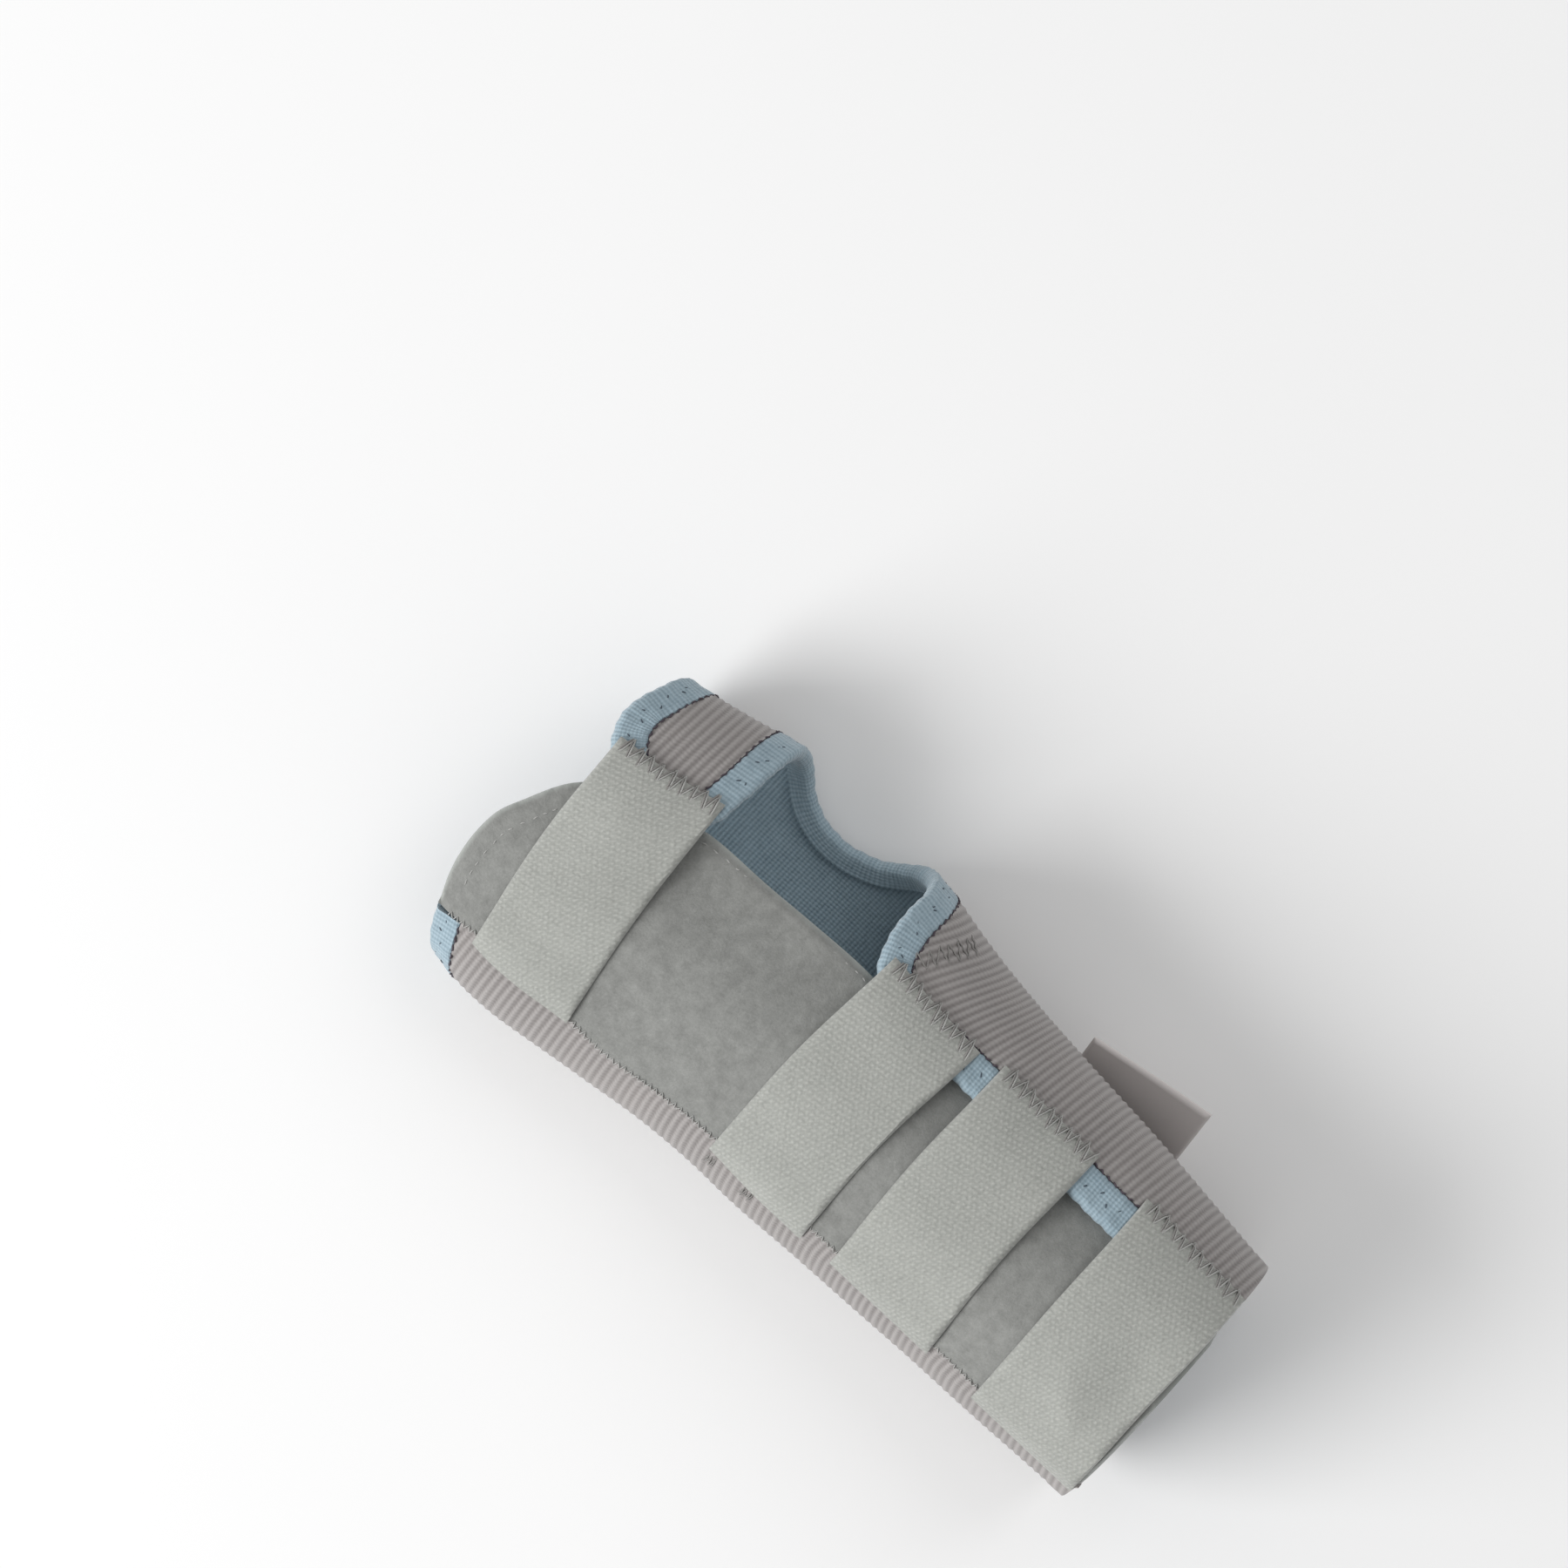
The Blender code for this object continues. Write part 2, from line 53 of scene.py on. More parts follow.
PANEL_RIM_THICK, PANEL_THICK = 1.2, 3.6
WALL = LINING_THICK + GAP + SLEEVE_THICK
PANEL_BASE = LINING_THICK + GAP
RISE = PANEL_BASE + PANEL_RIM_THICK + GAP + TAPE_THICK + FOLD_SLACK
RISE_FROM, RISE_TO = 0.755, 0.895
WIDEST_AT, PALM_SQUARENESS, BACK_SQUARENESS = 0.46, 2.4, 2.7
FLATTENED, KNUCKLE_LIFT, LIFTED_UP_TO = 1.3, 1.5, 0.1
STATIONS, ROUND_STEPS = 100, 360
ROW_SAG, ROW_MOST, TIGHTEST = 0.09, 9.0, 80
COLUMN = 10.5

# Each row is a section: along, breadth, middle (both shares of BREADTH), height (of HEIGHT)
SECTIONS = (
    (0.00, 0.868, 0.046, 0.640),
    (0.05, 0.918, 0.042, 0.682),
    (0.10, 0.953, 0.042, 0.716),
    (0.15, 0.976, 0.054, 0.740),
    (0.20, 0.992, 0.074, 0.757),
    (0.28, 0.974, 0.088, 0.783),
    (0.35, 0.950, 0.098, 0.814),
    (0.43, 0.932, 0.099, 0.848),
    (0.50, 0.903, 0.083, 0.870),
    (0.60, 0.862, 0.070, 0.894),
    (0.80, 0.811, 0.056, 0.946),
    (1.00, 0.753, 0.036, 1.000),
)
# The free edge in three stretches, the seam, the hem and the panel, each row along, girth
KNUCKLE_EDGE = (
    (0.023, 0.186), (0.036, 0.215), (0.053, 0.252), (0.068, 0.330), (0.072, 0.500),
    (0.066, 0.660), (0.053, 0.760), (0.038, 0.815), (0.030, 0.848), (0.034, 0.879),
    (0.052, 0.908), (0.080, 0.928), (0.115, 0.935),
)
THUMB_EDGE = (
    (0.115, 0.935), (0.150, 0.936), (0.168, 0.932), (0.184, 0.921), (0.194, 0.905),
    (0.198, 0.883), (0.206, 0.805), (0.222, 0.735), (0.262, 0.684), (0.314, 0.669),
    (0.366, 0.684), (0.405, 0.735), (0.419, 0.805), (0.419, 0.870), (0.432, 0.909),
    (0.462, 0.932), (0.500, 0.936),
)
WING_EDGE = ((0.500, 0.936), (0.600, 0.931), (0.800, 0.930), (0.984, 0.925))
SEAM = (
    (0.023, 0.181), (0.100, 0.158), (0.280, 0.175), (0.437, 0.167), (0.600, 0.160),
    (0.800, 0.161), (1.000, 0.165),
)
HEM = ((0.988, 0.878), (0.993, 0.750), (1.000, 0.500), (1.000, 0.280), (0.997, 0.165))
PANEL_END = (
    (0.023, 0.181), (0.010, 0.150), (0.000, 0.090), (0.003, 0.050), (0.015, 0.018),
    (0.045, -0.041), (0.073, -0.066), (0.109, -0.081), (0.160, -0.083),
)
PANEL_EDGE = ((0.160, -0.083), (0.300, -0.077), (0.437, -0.079), (0.705, -0.094), (0.960, -0.102))
PANEL_CORNER = ((0.960, -0.102), (0.986, -0.095), (0.994, -0.070))

RIB_PITCH, RIB_DEPTH, RIB_BOW, WING_PULL = 1.95, 0.36, 9.0, 6.5
RIB_SAMPLES = 4
BLOCK, CLEAR_OF_EDGE = 4000, 0.35
# The darker sleeve tone is partly painted shade in the rib furrows and partly fuzz
SLEEVE_COLOUR, SLEEVE_SHADE = (0.37, 0.35, 0.342), (0.18, 0.165, 0.16)
SLEEVE_WARM = (0.36, 0.33, 0.315)


def smooth_column(at, knots, values):
    """Cubic through the table's values, with slopes from their neighbours."""
    knots, values = np.asarray(knots, float), np.asarray(values, float)
    slope = np.gradient(values, knots)
    i = np.clip(np.searchsorted(knots, at) - 1, 0, len(knots) - 2)
    step = knots[i + 1] - knots[i]
    f = (at - knots[i]) / step
    start = (2 * f**3 - 3 * f**2 + 1) * values[i] + (f**3 - 2 * f**2 + f) * step * slope[i]
    end = (3 * f**2 - 2 * f**3) * values[i + 1] + (f**3 - f**2) * step * slope[i + 1]
    return start + end


def ease(share):
    """Smooth step, 3 t^2 - 2 t^3, held at 0 below 0 and at 1 above 1."""
    share = np.clip(share, 0.0, 1.0)
    return share * share * (3.0 - 2.0 * share)


def girth_loops():
    """Superellipse per station, its back clipped at the floor, resampled to equal lengths."""
    table = np.array(SECTIONS)
    angle = np.linspace(0.0, 2.0 * np.pi, 4 * ROUND_STEPS + 1)
    sine, cosine = np.sin(angle), np.cos(angle)
    loops, lengths = [], []
    for along in np.linspace(0.0, 1.0, STATIONS + 1):
        row = [smooth_column(along, table[:, 0], table[:, column]) for column in (1, 2, 3)]
        breadth, middle, height = row
        half = breadth * BREADTH / 2.0 - WALL
        widest = WIDEST_AT * height * HEIGHT
        floor = WALL + KNUCKLE_LIFT * max(0.0, 1.0 - along / LIFTED_UP_TO) ** 2
        palm = height * HEIGHT - PANEL_BASE - PANEL_THICK - widest
        back = widest - floor + FLATTENED
        tall = np.where(cosine > 0.0, palm, back)
        power = np.where(cosine > 0.0, PALM_SQUARENESS, BACK_SQUARENESS)
        reach = (np.abs(sine / half) ** power + np.abs(cosine / tall) ** power) ** (-1.0 / power)
        across = middle * BREADTH - reach * sine
        up = np.maximum(widest + reach * cosine, floor)
        way = np.concatenate([[0.0], np.cumsum(np.hypot(np.diff(across), np.diff(up)))])
        even = np.linspace(0.0, way[-1], ROUND_STEPS + 1)
        loops.append([np.interp(even, way, across), np.interp(even, way, up)])
        lengths.append(way[-1])
    loops = np.array(loops)
    ring = np.concatenate([loops[:, :, -2:-1], loops, loops[:, :, 1:2]], axis=2)
    step = ring[:, :, 2:] - ring[:, :, :-2]
    step /= np.linalg.norm(step, axis=1, keepdims=True)
    return loops, np.stack([step[:, 1], -step[:, 0]], axis=1), float(np.mean(lengths))


LOOPS, OUTWARD, GIRTH = girth_loops()


def facet_rows():
    """Row number at each step round the girth: rows crowd with the square root of the bend."""
    turn = np.percentile(np.linalg.norm(np.diff(OUTWARD, axis=2), axis=1), TIGHTEST, axis=0)
    step = GIRTH / ROUND_STEPS
    dense = np.maximum(np.sqrt(turn / step / (8.0 * ROW_SAG)), 1.0 / ROW_MOST)
    row = np.concatenate([[0.0], np.cumsum(dense * step)])
    return row * np.round(row[-1]) / row[-1]


ROWS = facet_rows()


def skin(along, girth, depth):
    """Point at `depth` outside the hollow's surface, blended between stations and steps."""
    along, girth, depth = np.broadcast_arrays(along, girth, depth)
    row = np.clip(along, 0.0, 1.0) * STATIONS
    column = np.mod(girth, 1.0) * ROUND_STEPS
    i = np.minimum(row.astype(int), STATIONS - 1)
    k = np.minimum(column.astype(int), ROUND_STEPS - 1)
    f, g = row - i, column - k

    def mixed(field, axis):
        """Bilinear blend, weights 1 - f and f between stations, 1 - g and g between steps."""
        low = (1 - g) * field[i, axis, k] + g * field[i, axis, k + 1]
        high = (1 - g) * field[i + 1, axis, k] + g * field[i + 1, axis, k + 1]
        return (1 - f) * low + f * high

    across = mixed(LOOPS, 0) + depth * mixed(OUTWARD, 0)
    up = mixed(LOOPS, 1) + depth * mixed(OUTWARD, 1)
    return np.stack([(along - 0.5) * LENGTH, across, up], axis=-1)


def flat(rows):
    """Shares along and round as millimetres on the unrolled surface."""
    return np.asarray(rows, float) * (LENGTH, GIRTH)


def wing_rise(girth):
    """How far the wing and the web stand off, eased in towards their free edge."""
    return RISE * ease((girth - RISE_FROM) / (RISE_TO - RISE_FROM))


def to_cells(spots):
    """Millimetres on the unrolled surface as facet columns and rows."""
    share = spots[:, 1] / GIRTH
    turns = np.floor(share)
    row = np.interp(share - turns, np.linspace(0.0, 1.0, ROUND_STEPS + 1), ROWS)
    return np.stack([spots[:, 0] / COLUMN, row + turns * ROWS[-1]], axis=1)


def from_cells(cells):
    """Facet columns and rows as millimetres on the unrolled surface."""
    turns = np.floor(cells[:, 1] / ROWS[-1])
    share = np.interp(cells[:, 1] - turns * ROWS[-1], ROWS, np.linspace(0.0, 1.0, ROUND_STEPS + 1))
    return np.stack([cells[:, 0] * COLUMN, (share + turns) * GIRTH], axis=1)


def path_length(points):
    """Length of the way to each point: the running sum of the legs."""
    legs = np.linalg.norm(np.diff(points, axis=0), axis=1)
    return np.concatenate([[0.0], np.cumsum(legs)])


def smooth_path(rows, step=1.0):
    """Cubic through the rows on the unrolled surface, with a point every `step` millimetres."""
    knots = flat(rows)
    way = path_length(knots)
    dense = np.linspace(0.0, way[-1], 600)
    fine = np.stack([smooth_column(dense, way, knots[:, c]) for c in (0, 1)], axis=1)
    run = path_length(fine)
    even = np.linspace(0.0, run[-1], max(2, int(np.ceil(run[-1] / step))) + 1)
    return np.stack([np.interp(even, run, fine[:, c]) for c in (0, 1)], axis=1)


def distance_to(points, line, closed=True):
    """Distance from each point to the polyline, in blocks to spare memory."""
    start = line if closed else line[:-1]
    end = np.roll(line, -1, axis=0) if closed else line[1:]
    leg = end - start
    size = np.maximum((leg * leg).sum(axis=1), 1e-9)
    found = []
    for block in np.array_split(points, max(1, len(points) // 2000)):
        offset = block[:, None] - start[None]
        share = np.clip((offset * leg).sum(axis=2) / size, 0.0, 1.0)
        found.append(np.linalg.norm(offset - share[..., None] * leg, axis=2).min(axis=1))
    return np.concatenate(found)


def inward(path):
    """Unit steps from the path into the cloth, a quarter turn from its tangents."""
    tangent = np.gradient(path, axis=0)
    tangent /= np.linalg.norm(tangent, axis=1, keepdims=True)
    return np.stack([tangent[:, 1], -tangent[:, 0]], axis=1)


def inset(path, distance):
    """The path moved into the cloth by `distance`, without the loops of tight corners."""
    moved = path + distance * inward(path)
    return moved[distance_to(moved, path, closed=False) > 0.97 * distance]


def inside(points, outline):
    """Which points lie inside the closed outline, by counting crossings."""
    x, y = points[:, 0:1], points[:, 1:2]
    x0, y0 = outline[:, 0], outline[:, 1]
    x1, y1 = np.roll(x0, -1), np.roll(y0, -1)
    drop = np.where(y1 == y0, 1.0, y1 - y0)
    crosses = ((y0 > y) != (y1 > y)) & (x < x0 + (y - y0) / drop * (x1 - x0))
    return crosses.sum(axis=1) % 2 == 1


EDGE_ROWS = (KNUCKLE_EDGE, THUMB_EDGE, WING_EDGE)
EDGE_STEP = 0.9
EDGES = [smooth_path(rows, EDGE_STEP) for rows in EDGE_ROWS]
FREE_EDGE = np.concatenate([EDGES[0], EDGES[1][1:], EDGES[2][1:]])
SEAM_LINE = smooth_path(SEAM)
PANEL_TIP = smooth_path(PANEL_END)

# The CAD model stands its whole box on the origin, so the same step is read from the panel
tip = skin(PANEL_TIP[:, 0] / LENGTH, PANEL_TIP[:, 1] / GIRTH, PANEL_BASE)
seam = skin(SEAM_LINE[:, 0] / LENGTH, (SEAM_LINE[:, 1] - GAP / 2.0) / GIRTH, PANEL_BASE)
panel_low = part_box("palm_panel")[0] * 1000.0
SHIFT = np.array([panel_low.x - tip[:, 0].min(), panel_low.y - seam[:, 1].min(), 0.0])


def place(along, girth, depth):
    """Point on the skin in the frame's own millimetres."""
    return skin(along, girth, depth) + SHIFT


def new_piece(name, points, faces, look, uv, nodes):
    """Mesh object from millimetres, faces turned outwards, riding on the root body."""
    mesh = bpy.data.meshes.new(name)
    mesh.from_pydata(points * 0.001, [], faces)
    work = bmesh.new()
    work.from_mesh(mesh)
    bmesh.ops.recalc_face_normals(work, faces=work.faces)
    work.to_mesh(mesh)
    work.free()
    layer = mesh.uv_layers.new(name="cloth")
    corner = np.zeros(len(mesh.loops), np.int32)
    mesh.loops.foreach_get("vertex_index", corner)
    layer.data.foreach_set("uv", uv[corner].astype(np.float32).ravel())
    mesh.shade_smooth()
    mesh.set_sharp_from_angle(angle=1.0)
    mesh.materials.append(look)
    made = bpy.data.objects.new(name, mesh)
    bpy.context.collection.objects.link(made)
    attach(made, "root")
    if nodes:
        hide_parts(*nodes)
    return made


def open_edges(faces):
    """Directed edges that only one face uses, turned round."""
    used = {(a, b) for face in faces for a, b in zip(face, [*face[1:], face[0]])}
    return [(b, a) for a, b in used if (b, a) not in used]


def cut_sheet(outline, low, high, column, row, ribbed=False):
    """Lattice inside the outline, joined to it by triangles, laid on two depths and closed.

    The lattice lies `column` millimetres apart along the arm and `row` facet rows apart round it.
    On ribbed cloth its columns follow the ribs.
    """
    scale = np.array([COLUMN / column, 1.0 / row])
    edge = outline.copy()
    if ribbed:
        edge[:, 0] = unbowed(edge[:, 0], edge[:, 1])
    edge = to_cells(edge) * scale
    first, last = np.floor(edge.min(axis=0)), np.ceil(edge.max(axis=0))
    grid = np.meshgrid(np.arange(first[0], last[0]), np.arange(first[1], last[1]))
    lattice = np.stack([part.ravel() for part in grid], axis=1)
    blocks = np.array_split(lattice, 1 + len(lattice) // BLOCK)
    lattice = np.concatenate([block[inside(block, edge)] for block in blocks])
    lattice = lattice[distance_to(lattice, edge) > CLEAR_OF_EDGE]
    spots = [Vector(p) for p in np.concatenate([edge, lattice])]
    spots, _, faces, _, _, _ = delaunay_2d_cdt(spots, [], [list(range(len(edge)))], 1, 1e-5)
    spots = from_cells(np.array([tuple(p) for p in spots]) / scale)
    uv = spots.copy()
    if ribbed:
        spots[:, 0] += rib_bow(spots[:, 0], spots[:, 1])
    along, girth = (spots / (LENGTH, GIRTH)).T
    points = np.concatenate([place(along, girth, low(along, girth)),
                             place(along, girth, high(along, girth))])
    count = len(spots)
    closed = [tuple(face) for face in faces]
    closed += [tuple(count + i for i in reversed(face)) for face in faces]
    closed += [(a, b, count + b, count + a) for a, b in open_edges(faces)]
    return points, closed, np.concatenate([uv, uv])


def waves(along, girth, length, seed):
    """Soft unevenness between -1 and 1: three crossed sines whose phases come from the seed."""
    x, s = along * LENGTH / length, girth * GIRTH / length
    a, b, c = seed * 1.7, seed * 2.9, seed * 4.3
    return (np.sin(5.1 * x + 2.3 * s + a) + np.sin(-3.1 * x + 4.7 * s + b)
            + np.sin(7.3 * x - 1.9 * s + c)) / 3.0


class Wire:
    """A shader socket that takes part in sums: each operator adds its Math node."""

    def __init__(self, tree, socket):
        self.tree, self.socket = tree, socket

    def maths(self, operation, *others):
        """Math node on this socket and the others, each a socket or a number."""
        values = [self, *others]
        return shader_node(self.tree, "ShaderNodeMath", {"operation": operation},
                           dict(enumerate(values)))

    def __add__(self, other):
        return self.maths("ADD", other)

    def __sub__(self, other):
        return self.maths("SUBTRACT", other)

    def __rsub__(self, other):
        return (self * -1.0) + other

    def __mul__(self, other):
        return self.maths("MULTIPLY", other)

    def __truediv__(self, other):
        return self.maths("DIVIDE", other)

    def sine(self):
        return self.maths("SINE")

    def clamped(self):
        return self.maths("MAXIMUM", 0.0).maths("MINIMUM", 1.0)


def shader_node(tree, kind, settings, inputs, output=0):
    """Any node: its settings first, then values or links for its sockets."""
    node = tree.nodes.new(kind)
    for key, value in settings.items():
        setattr(node, key, value)
    for key, value in inputs.items():
        if isinstance(value, Wire):
            tree.links.new(value.socket, node.inputs[key])
        else:
            node.inputs[key].default_value = value
    return Wire(tree, node.outputs[output])


def new_look(name, **constants):
    """Material with a Principled shader whose constants are set on its own sockets."""
    look = bpy.data.materials.new(name)
    look.use_nodes = True
    shader = look.node_tree.nodes["Principled BSDF"]
    for key, value in constants.items():
        shader.inputs[key.replace("_", " ")].default_value = value
    return look, look.node_tree, shader


def blend_colours(tree, share, first, second):
    """Colour Mix from first to second by share."""
    node = tree.nodes.new("ShaderNodeMix")
    node.data_type = "RGBA"
    sockets = [s for s in node.inputs if s.type == "RGBA"]
    for socket, value in ((node.inputs[0], share), (sockets[0], first), (sockets[1], second)):
        if isinstance(value, Wire):
            tree.links.new(value.socket, socket)
        else:
            socket.default_value = value if np.isscalar(value) else (*value, 1.0)
    return Wire(tree, [s for s in node.outputs if s.type == "RGBA"][0])


def cloth_place(tree):
    """The cloth's own millimetres: along the arm or the tape, and round or across it."""
    uv = shader_node(tree, "ShaderNodeUVMap", {"uv_map": "cloth"}, {})
    along = shader_node(tree, "ShaderNodeSeparateXYZ", {}, {"Vector": uv}, "X")
    across = shader_node(tree, "ShaderNodeSeparateXYZ", {}, {"Vector": uv}, "Y")
    return uv, along, across


def noise(tree, vector, scale, detail=3.0, rough=0.6):
    """Noise texture, its scale in cells per millimetre of cloth."""
    return shader_node(tree, "ShaderNodeTexNoise", {},
                       {"Vector": vector, "Scale": scale, "Detail": detail, "Roughness": rough})


def finish_look(tree, shader, colour, height, depth, strength=1.0):
    """Link the colour, and the height through a Bump node."""
    bump = shader_node(tree, "ShaderNodeBump", {}, {"Height": height, "Distance": depth,
                                                    "Strength": strength})
    tree.links.new(colour.socket, shader.inputs["Base Color"])
    tree.links.new(bump.socket, shader.inputs["Normal"])


def ribbed_elastic():
    """Crests painted lighter than the furrows, as painted shade; small stitches across each rib, a
    few fuzzy flecks.
    """
    look, tree, shader = new_look("ribbed elastic", Roughness=0.88, Sheen_Weight=0.25,
                                  Sheen_Roughness=0.5)
    uv, along, across = cloth_place(tree)
    turn = 2.0 * np.pi / RIB_PITCH
    # The rib wave paints the furrows darker than the crests: painted shade
    rib = (along * turn).sine() * 0.5 + 0.5
    stitch = (across * (2.0 * np.pi / 0.9) + (along * turn * 0.5).sine() * 1.2).sine() * 0.5 + 0.5
    fuzz = noise(tree, uv, 1.6, 5.0, 0.7)
    broad = noise(tree, uv, 0.035, 2.0)
    tone = (rib * 0.62 + fuzz * 0.45 + stitch * 0.12 - 0.12).clamped()
    colour = blend_colours(tree, tone, SLEEVE_SHADE, SLEEVE_COLOUR)
    colour = blend_colours(tree, (broad - 0.45) * 0.6, colour, SLEEVE_WARM)
    finish_look(tree, shader, colour, stitch * 0.4 + fuzz * 0.8, 0.00016, 0.8)
    return look


def rib_bow(across, girth):
    """How far a rib has moved along the arm: half a sine over the back, less on the web, and
    an extra pull on the distal part of the wing, eased in from the strap's end outwards."""
    share = np.clip((girth / GIRTH - 0.18) / 0.74, 0.0, 1.0)
    at = across / LENGTH
    calm = 0.35 + 0.65 * ease((at - 0.15) / 0.3)
    pull = ease((0.93 - girth / GIRTH) / 0.13) * ease((girth / GIRTH - 0.45) / 0.3)
    pull = pull * ease((at - 0.28) / 0.14) * ease((0.68 - at) / 0.22)
    return RIB_BOW * np.sin(np.pi * share) * calm + WING_PULL * pull


def unbowed(along, girth):
    """The rib coordinate of a place: the bow is taken off in a few repeated steps."""
    across = along
    for _ in range(14):
        across = along - rib_bow(across, girth)
    return across


def sleeve_inner(along, girth):
    """Underside of the sleeve: one gap outside the lining, standing off towards the edge."""
    return PANEL_BASE + wing_rise(girth)


def sleeve_outer(along, girth):
    """Wall less the furrows between the ribs, which fade towards the hem, and soft waves."""
    phase = 2.0 * np.pi * unbowed(along * LENGTH, np.mod(girth, 1.0) * GIRTH) / RIB_PITCH
    hem = 0.15 + 0.85 * ease((0.985 - along) * LENGTH / 3.0)
    furrow = RIB_DEPTH * hem * (0.5 - 0.5 * np.sin(phase))
    return WALL + wing_rise(girth) - furrow + 0.12 * waves(along, girth, 40.0, 1.0)


cut = inset(FREE_EDGE, TAPE_WIDTH + 0.1)
hem = smooth_path(HEM)
seam = SEAM_LINE
start = np.array([[cut[0, 0], np.interp(cut[0, 0], seam[:, 0], seam[:, 1])]])
seam = seam[seam[:, 0] > cut[0, 0] + 0.5]
cut = cut[cut[:, 0] < hem[0, 0] - 0.5]
sleeve_cut = np.concatenate([start, cut[1:], hem[:-1], seam[::-1]])
points, faces, uv = cut_sheet(sleeve_cut, sleeve_inner, sleeve_outer,
                              RIB_PITCH / RIB_SAMPLES, 0.5, ribbed=True)
sleeve = new_piece("ribbed_sleeve", points, faces, ribbed_elastic(), uv, ["sleeve"])

# Lining
# Fine light-blue knit under the sleeve and the panel. Its stitches make narrow cords across the
# cloth, and it shows in the gaps between the straps, in the thumb notch and inside.
KNIT_COLOUR, KNIT_SHADE = (0.43, 0.545, 0.61), (0.15, 0.215, 0.26)
KNIT_PITCH = 1.05


def blue_knit(name, pitch, cords):
    """Narrow cords across the cloth, each a column of small stitches."""
    look, tree, shader = new_look(name, Roughness=0.9, Sheen_Weight=0.35, Sheen_Roughness=0.4)
    uv, along, across = cloth_place(tree)
    fuzz = noise(tree, uv, 2.2, 4.0, 0.65)
    cord = ((along + fuzz * 0.25) * (2.0 * np.pi / pitch)).sine() * 0.5 + 0.5
    loop = ((across + fuzz * 0.2) * (2.0 * np.pi / 0.8)).sine() * 0.5 + 0.5
    broad = noise(tree, uv, 0.12, 3.0)
    blotch = noise(tree, uv, 0.6, 4.0, 0.65)
    tone = (cord * cords + loop * 0.1 + fuzz * 0.35 + broad * 0.4 + blotch * 0.5 - 0.35).clamped()
    colour = blend_colours(tree, tone, KNIT_SHADE, KNIT_COLOUR)
    finish_look(tree, shader, colour, cord * cords * 1.6 + loop * 0.3 + fuzz * 0.6 + blotch,
                0.00022, 0.85)
    return look


def lining_inner(along, girth):
    """Face towards the arm: the hollow's own surface with soft unevenness."""
    return wing_rise(girth) + 0.1 * waves(along, girth, 30.0, 2.0)


def lining_outer(along, girth):
    """Face towards the sleeve, one cloth thickness out."""
    return lining_inner(along, girth) + LINING_THICK


LINING_HEM = 0.982
cut = inset(FREE_EDGE, TAPE_THICK + GAP)
under = PANEL_TIP[::-1] + inward(PANEL_TIP[::-1])
side = smooth_path(PANEL_EDGE, 2.0) + (0.0, 1.0)
hem_at = LINING_HEM * LENGTH
ends = [(hem_at, np.interp(hem_at, line[-9:, 0], line[-9:, 1])) for line in (cut, side)]
hem = smooth_path(np.array(ends) / (LENGTH, GIRTH), 2.0)
cut, side = [line[line[:, 0] < hem_at - 1.0] for line in (cut, side)]
lining_cut = np.concatenate([cut, hem, side[::-1], under[1:-1]])
points, faces, uv = cut_sheet(lining_cut, lining_inner, lining_outer, 3.0, 0.6)
lining = new_piece("blue_lining", points, faces, blue_knit("lining knit", KNIT_PITCH, 0.4), uv,
                   ["lining"])

# Palm panel
# Grey velour pad over the palm and the inner forearm, with a flat rim sewn all round. The pile
# is brushed unevenly, so it is mottled, and it is soft in the middle.
RIM_WIDTH, SWELL_WIDTH = 4.5, 18.0
VELOUR_COLOUR, VELOUR_SHADE = (0.335, 0.34, 0.325), (0.125, 0.127, 0.12)
# Lighter colour of the painted highlight along the panel's free edge
RIM_HIGHLIGHT_COLOUR = (0.44, 0.47, 0.445)
PANEL_ROUND = 0.9
RIM_STITCH = 1.8


def panel_outline():
    """Round end, thumb-side edge, corner, forearm end and seam."""
    side = smooth_path(PANEL_EDGE)
    corner = smooth_path(PANEL_CORNER)
    line = SEAM_LINE
    last = line[-1] * (0.999, 1.0)
    foot = corner[-1] + (last - corner[-1]) * np.linspace(0.0, 1.0, 50)[1:, None]
    return np.concatenate([PANEL_TIP[1:], side[1:], corner[1:], foot]), line[:-1][::-1]


PANEL_FREE, PANEL_SEAM = panel_outline()
PANEL = np.concatenate([PANEL_FREE, PANEL_SEAM])


def panel_depth(along, girth):
    """Distance in from the panel's outline, 0 outside it."""
    spots = np.stack([np.ravel(along) * LENGTH, np.ravel(girth) * GIRTH], axis=1)
    deep = distance_to(spots, PANEL)
    blocks = np.array_split(spots, 1 + len(spots) // BLOCK)
    within = np.concatenate([inside(block, PANEL) for block in blocks])
    return np.where(within, deep, 0.0).reshape(np.shape(along))


def panel_top(along, girth):
    """Rim, swelling inwards of it: the level that straps lie on."""
    swell = ease((panel_depth(along, girth) - RIM_WIDTH) / SWELL_WIDTH)
    return PANEL_BASE + PANEL_RIM_THICK + (PANEL_THICK - PANEL_RIM_THICK) * swell


def panel_base(along, girth):
    """Level underside, one gap outside the lining."""
    return np.full(np.shape(along), PANEL_BASE)


def rounded(share):
    """Quarter round: 0 at the edge, 1 from one radius inwards."""
    return np.sqrt(1.0 - (1.0 - np.clip(share, 0.0, 1.0)) ** 2)


def velour_top(along, girth):
    """The panel's level with its edge rounded off, a stitch furrow near it, and soft dents."""
    spots = np.stack([along * LENGTH, girth * GIRTH], axis=1)
    free = distance_to(spots, PANEL_FREE, closed=False)
    level = panel_top(along, girth)
    fall = rounded(free / PANEL_ROUND)
    level = PANEL_BASE + 0.15 + (level - PANEL_BASE - 0.15) * fall
    furrow = 0.30 * np.exp(-((free - RIM_STITCH) / 0.5) ** 2)
    dents = 0.16 * waves(along, girth, 24.0, 3.0) * ease(free / 6.0)
    return level - furrow + dents


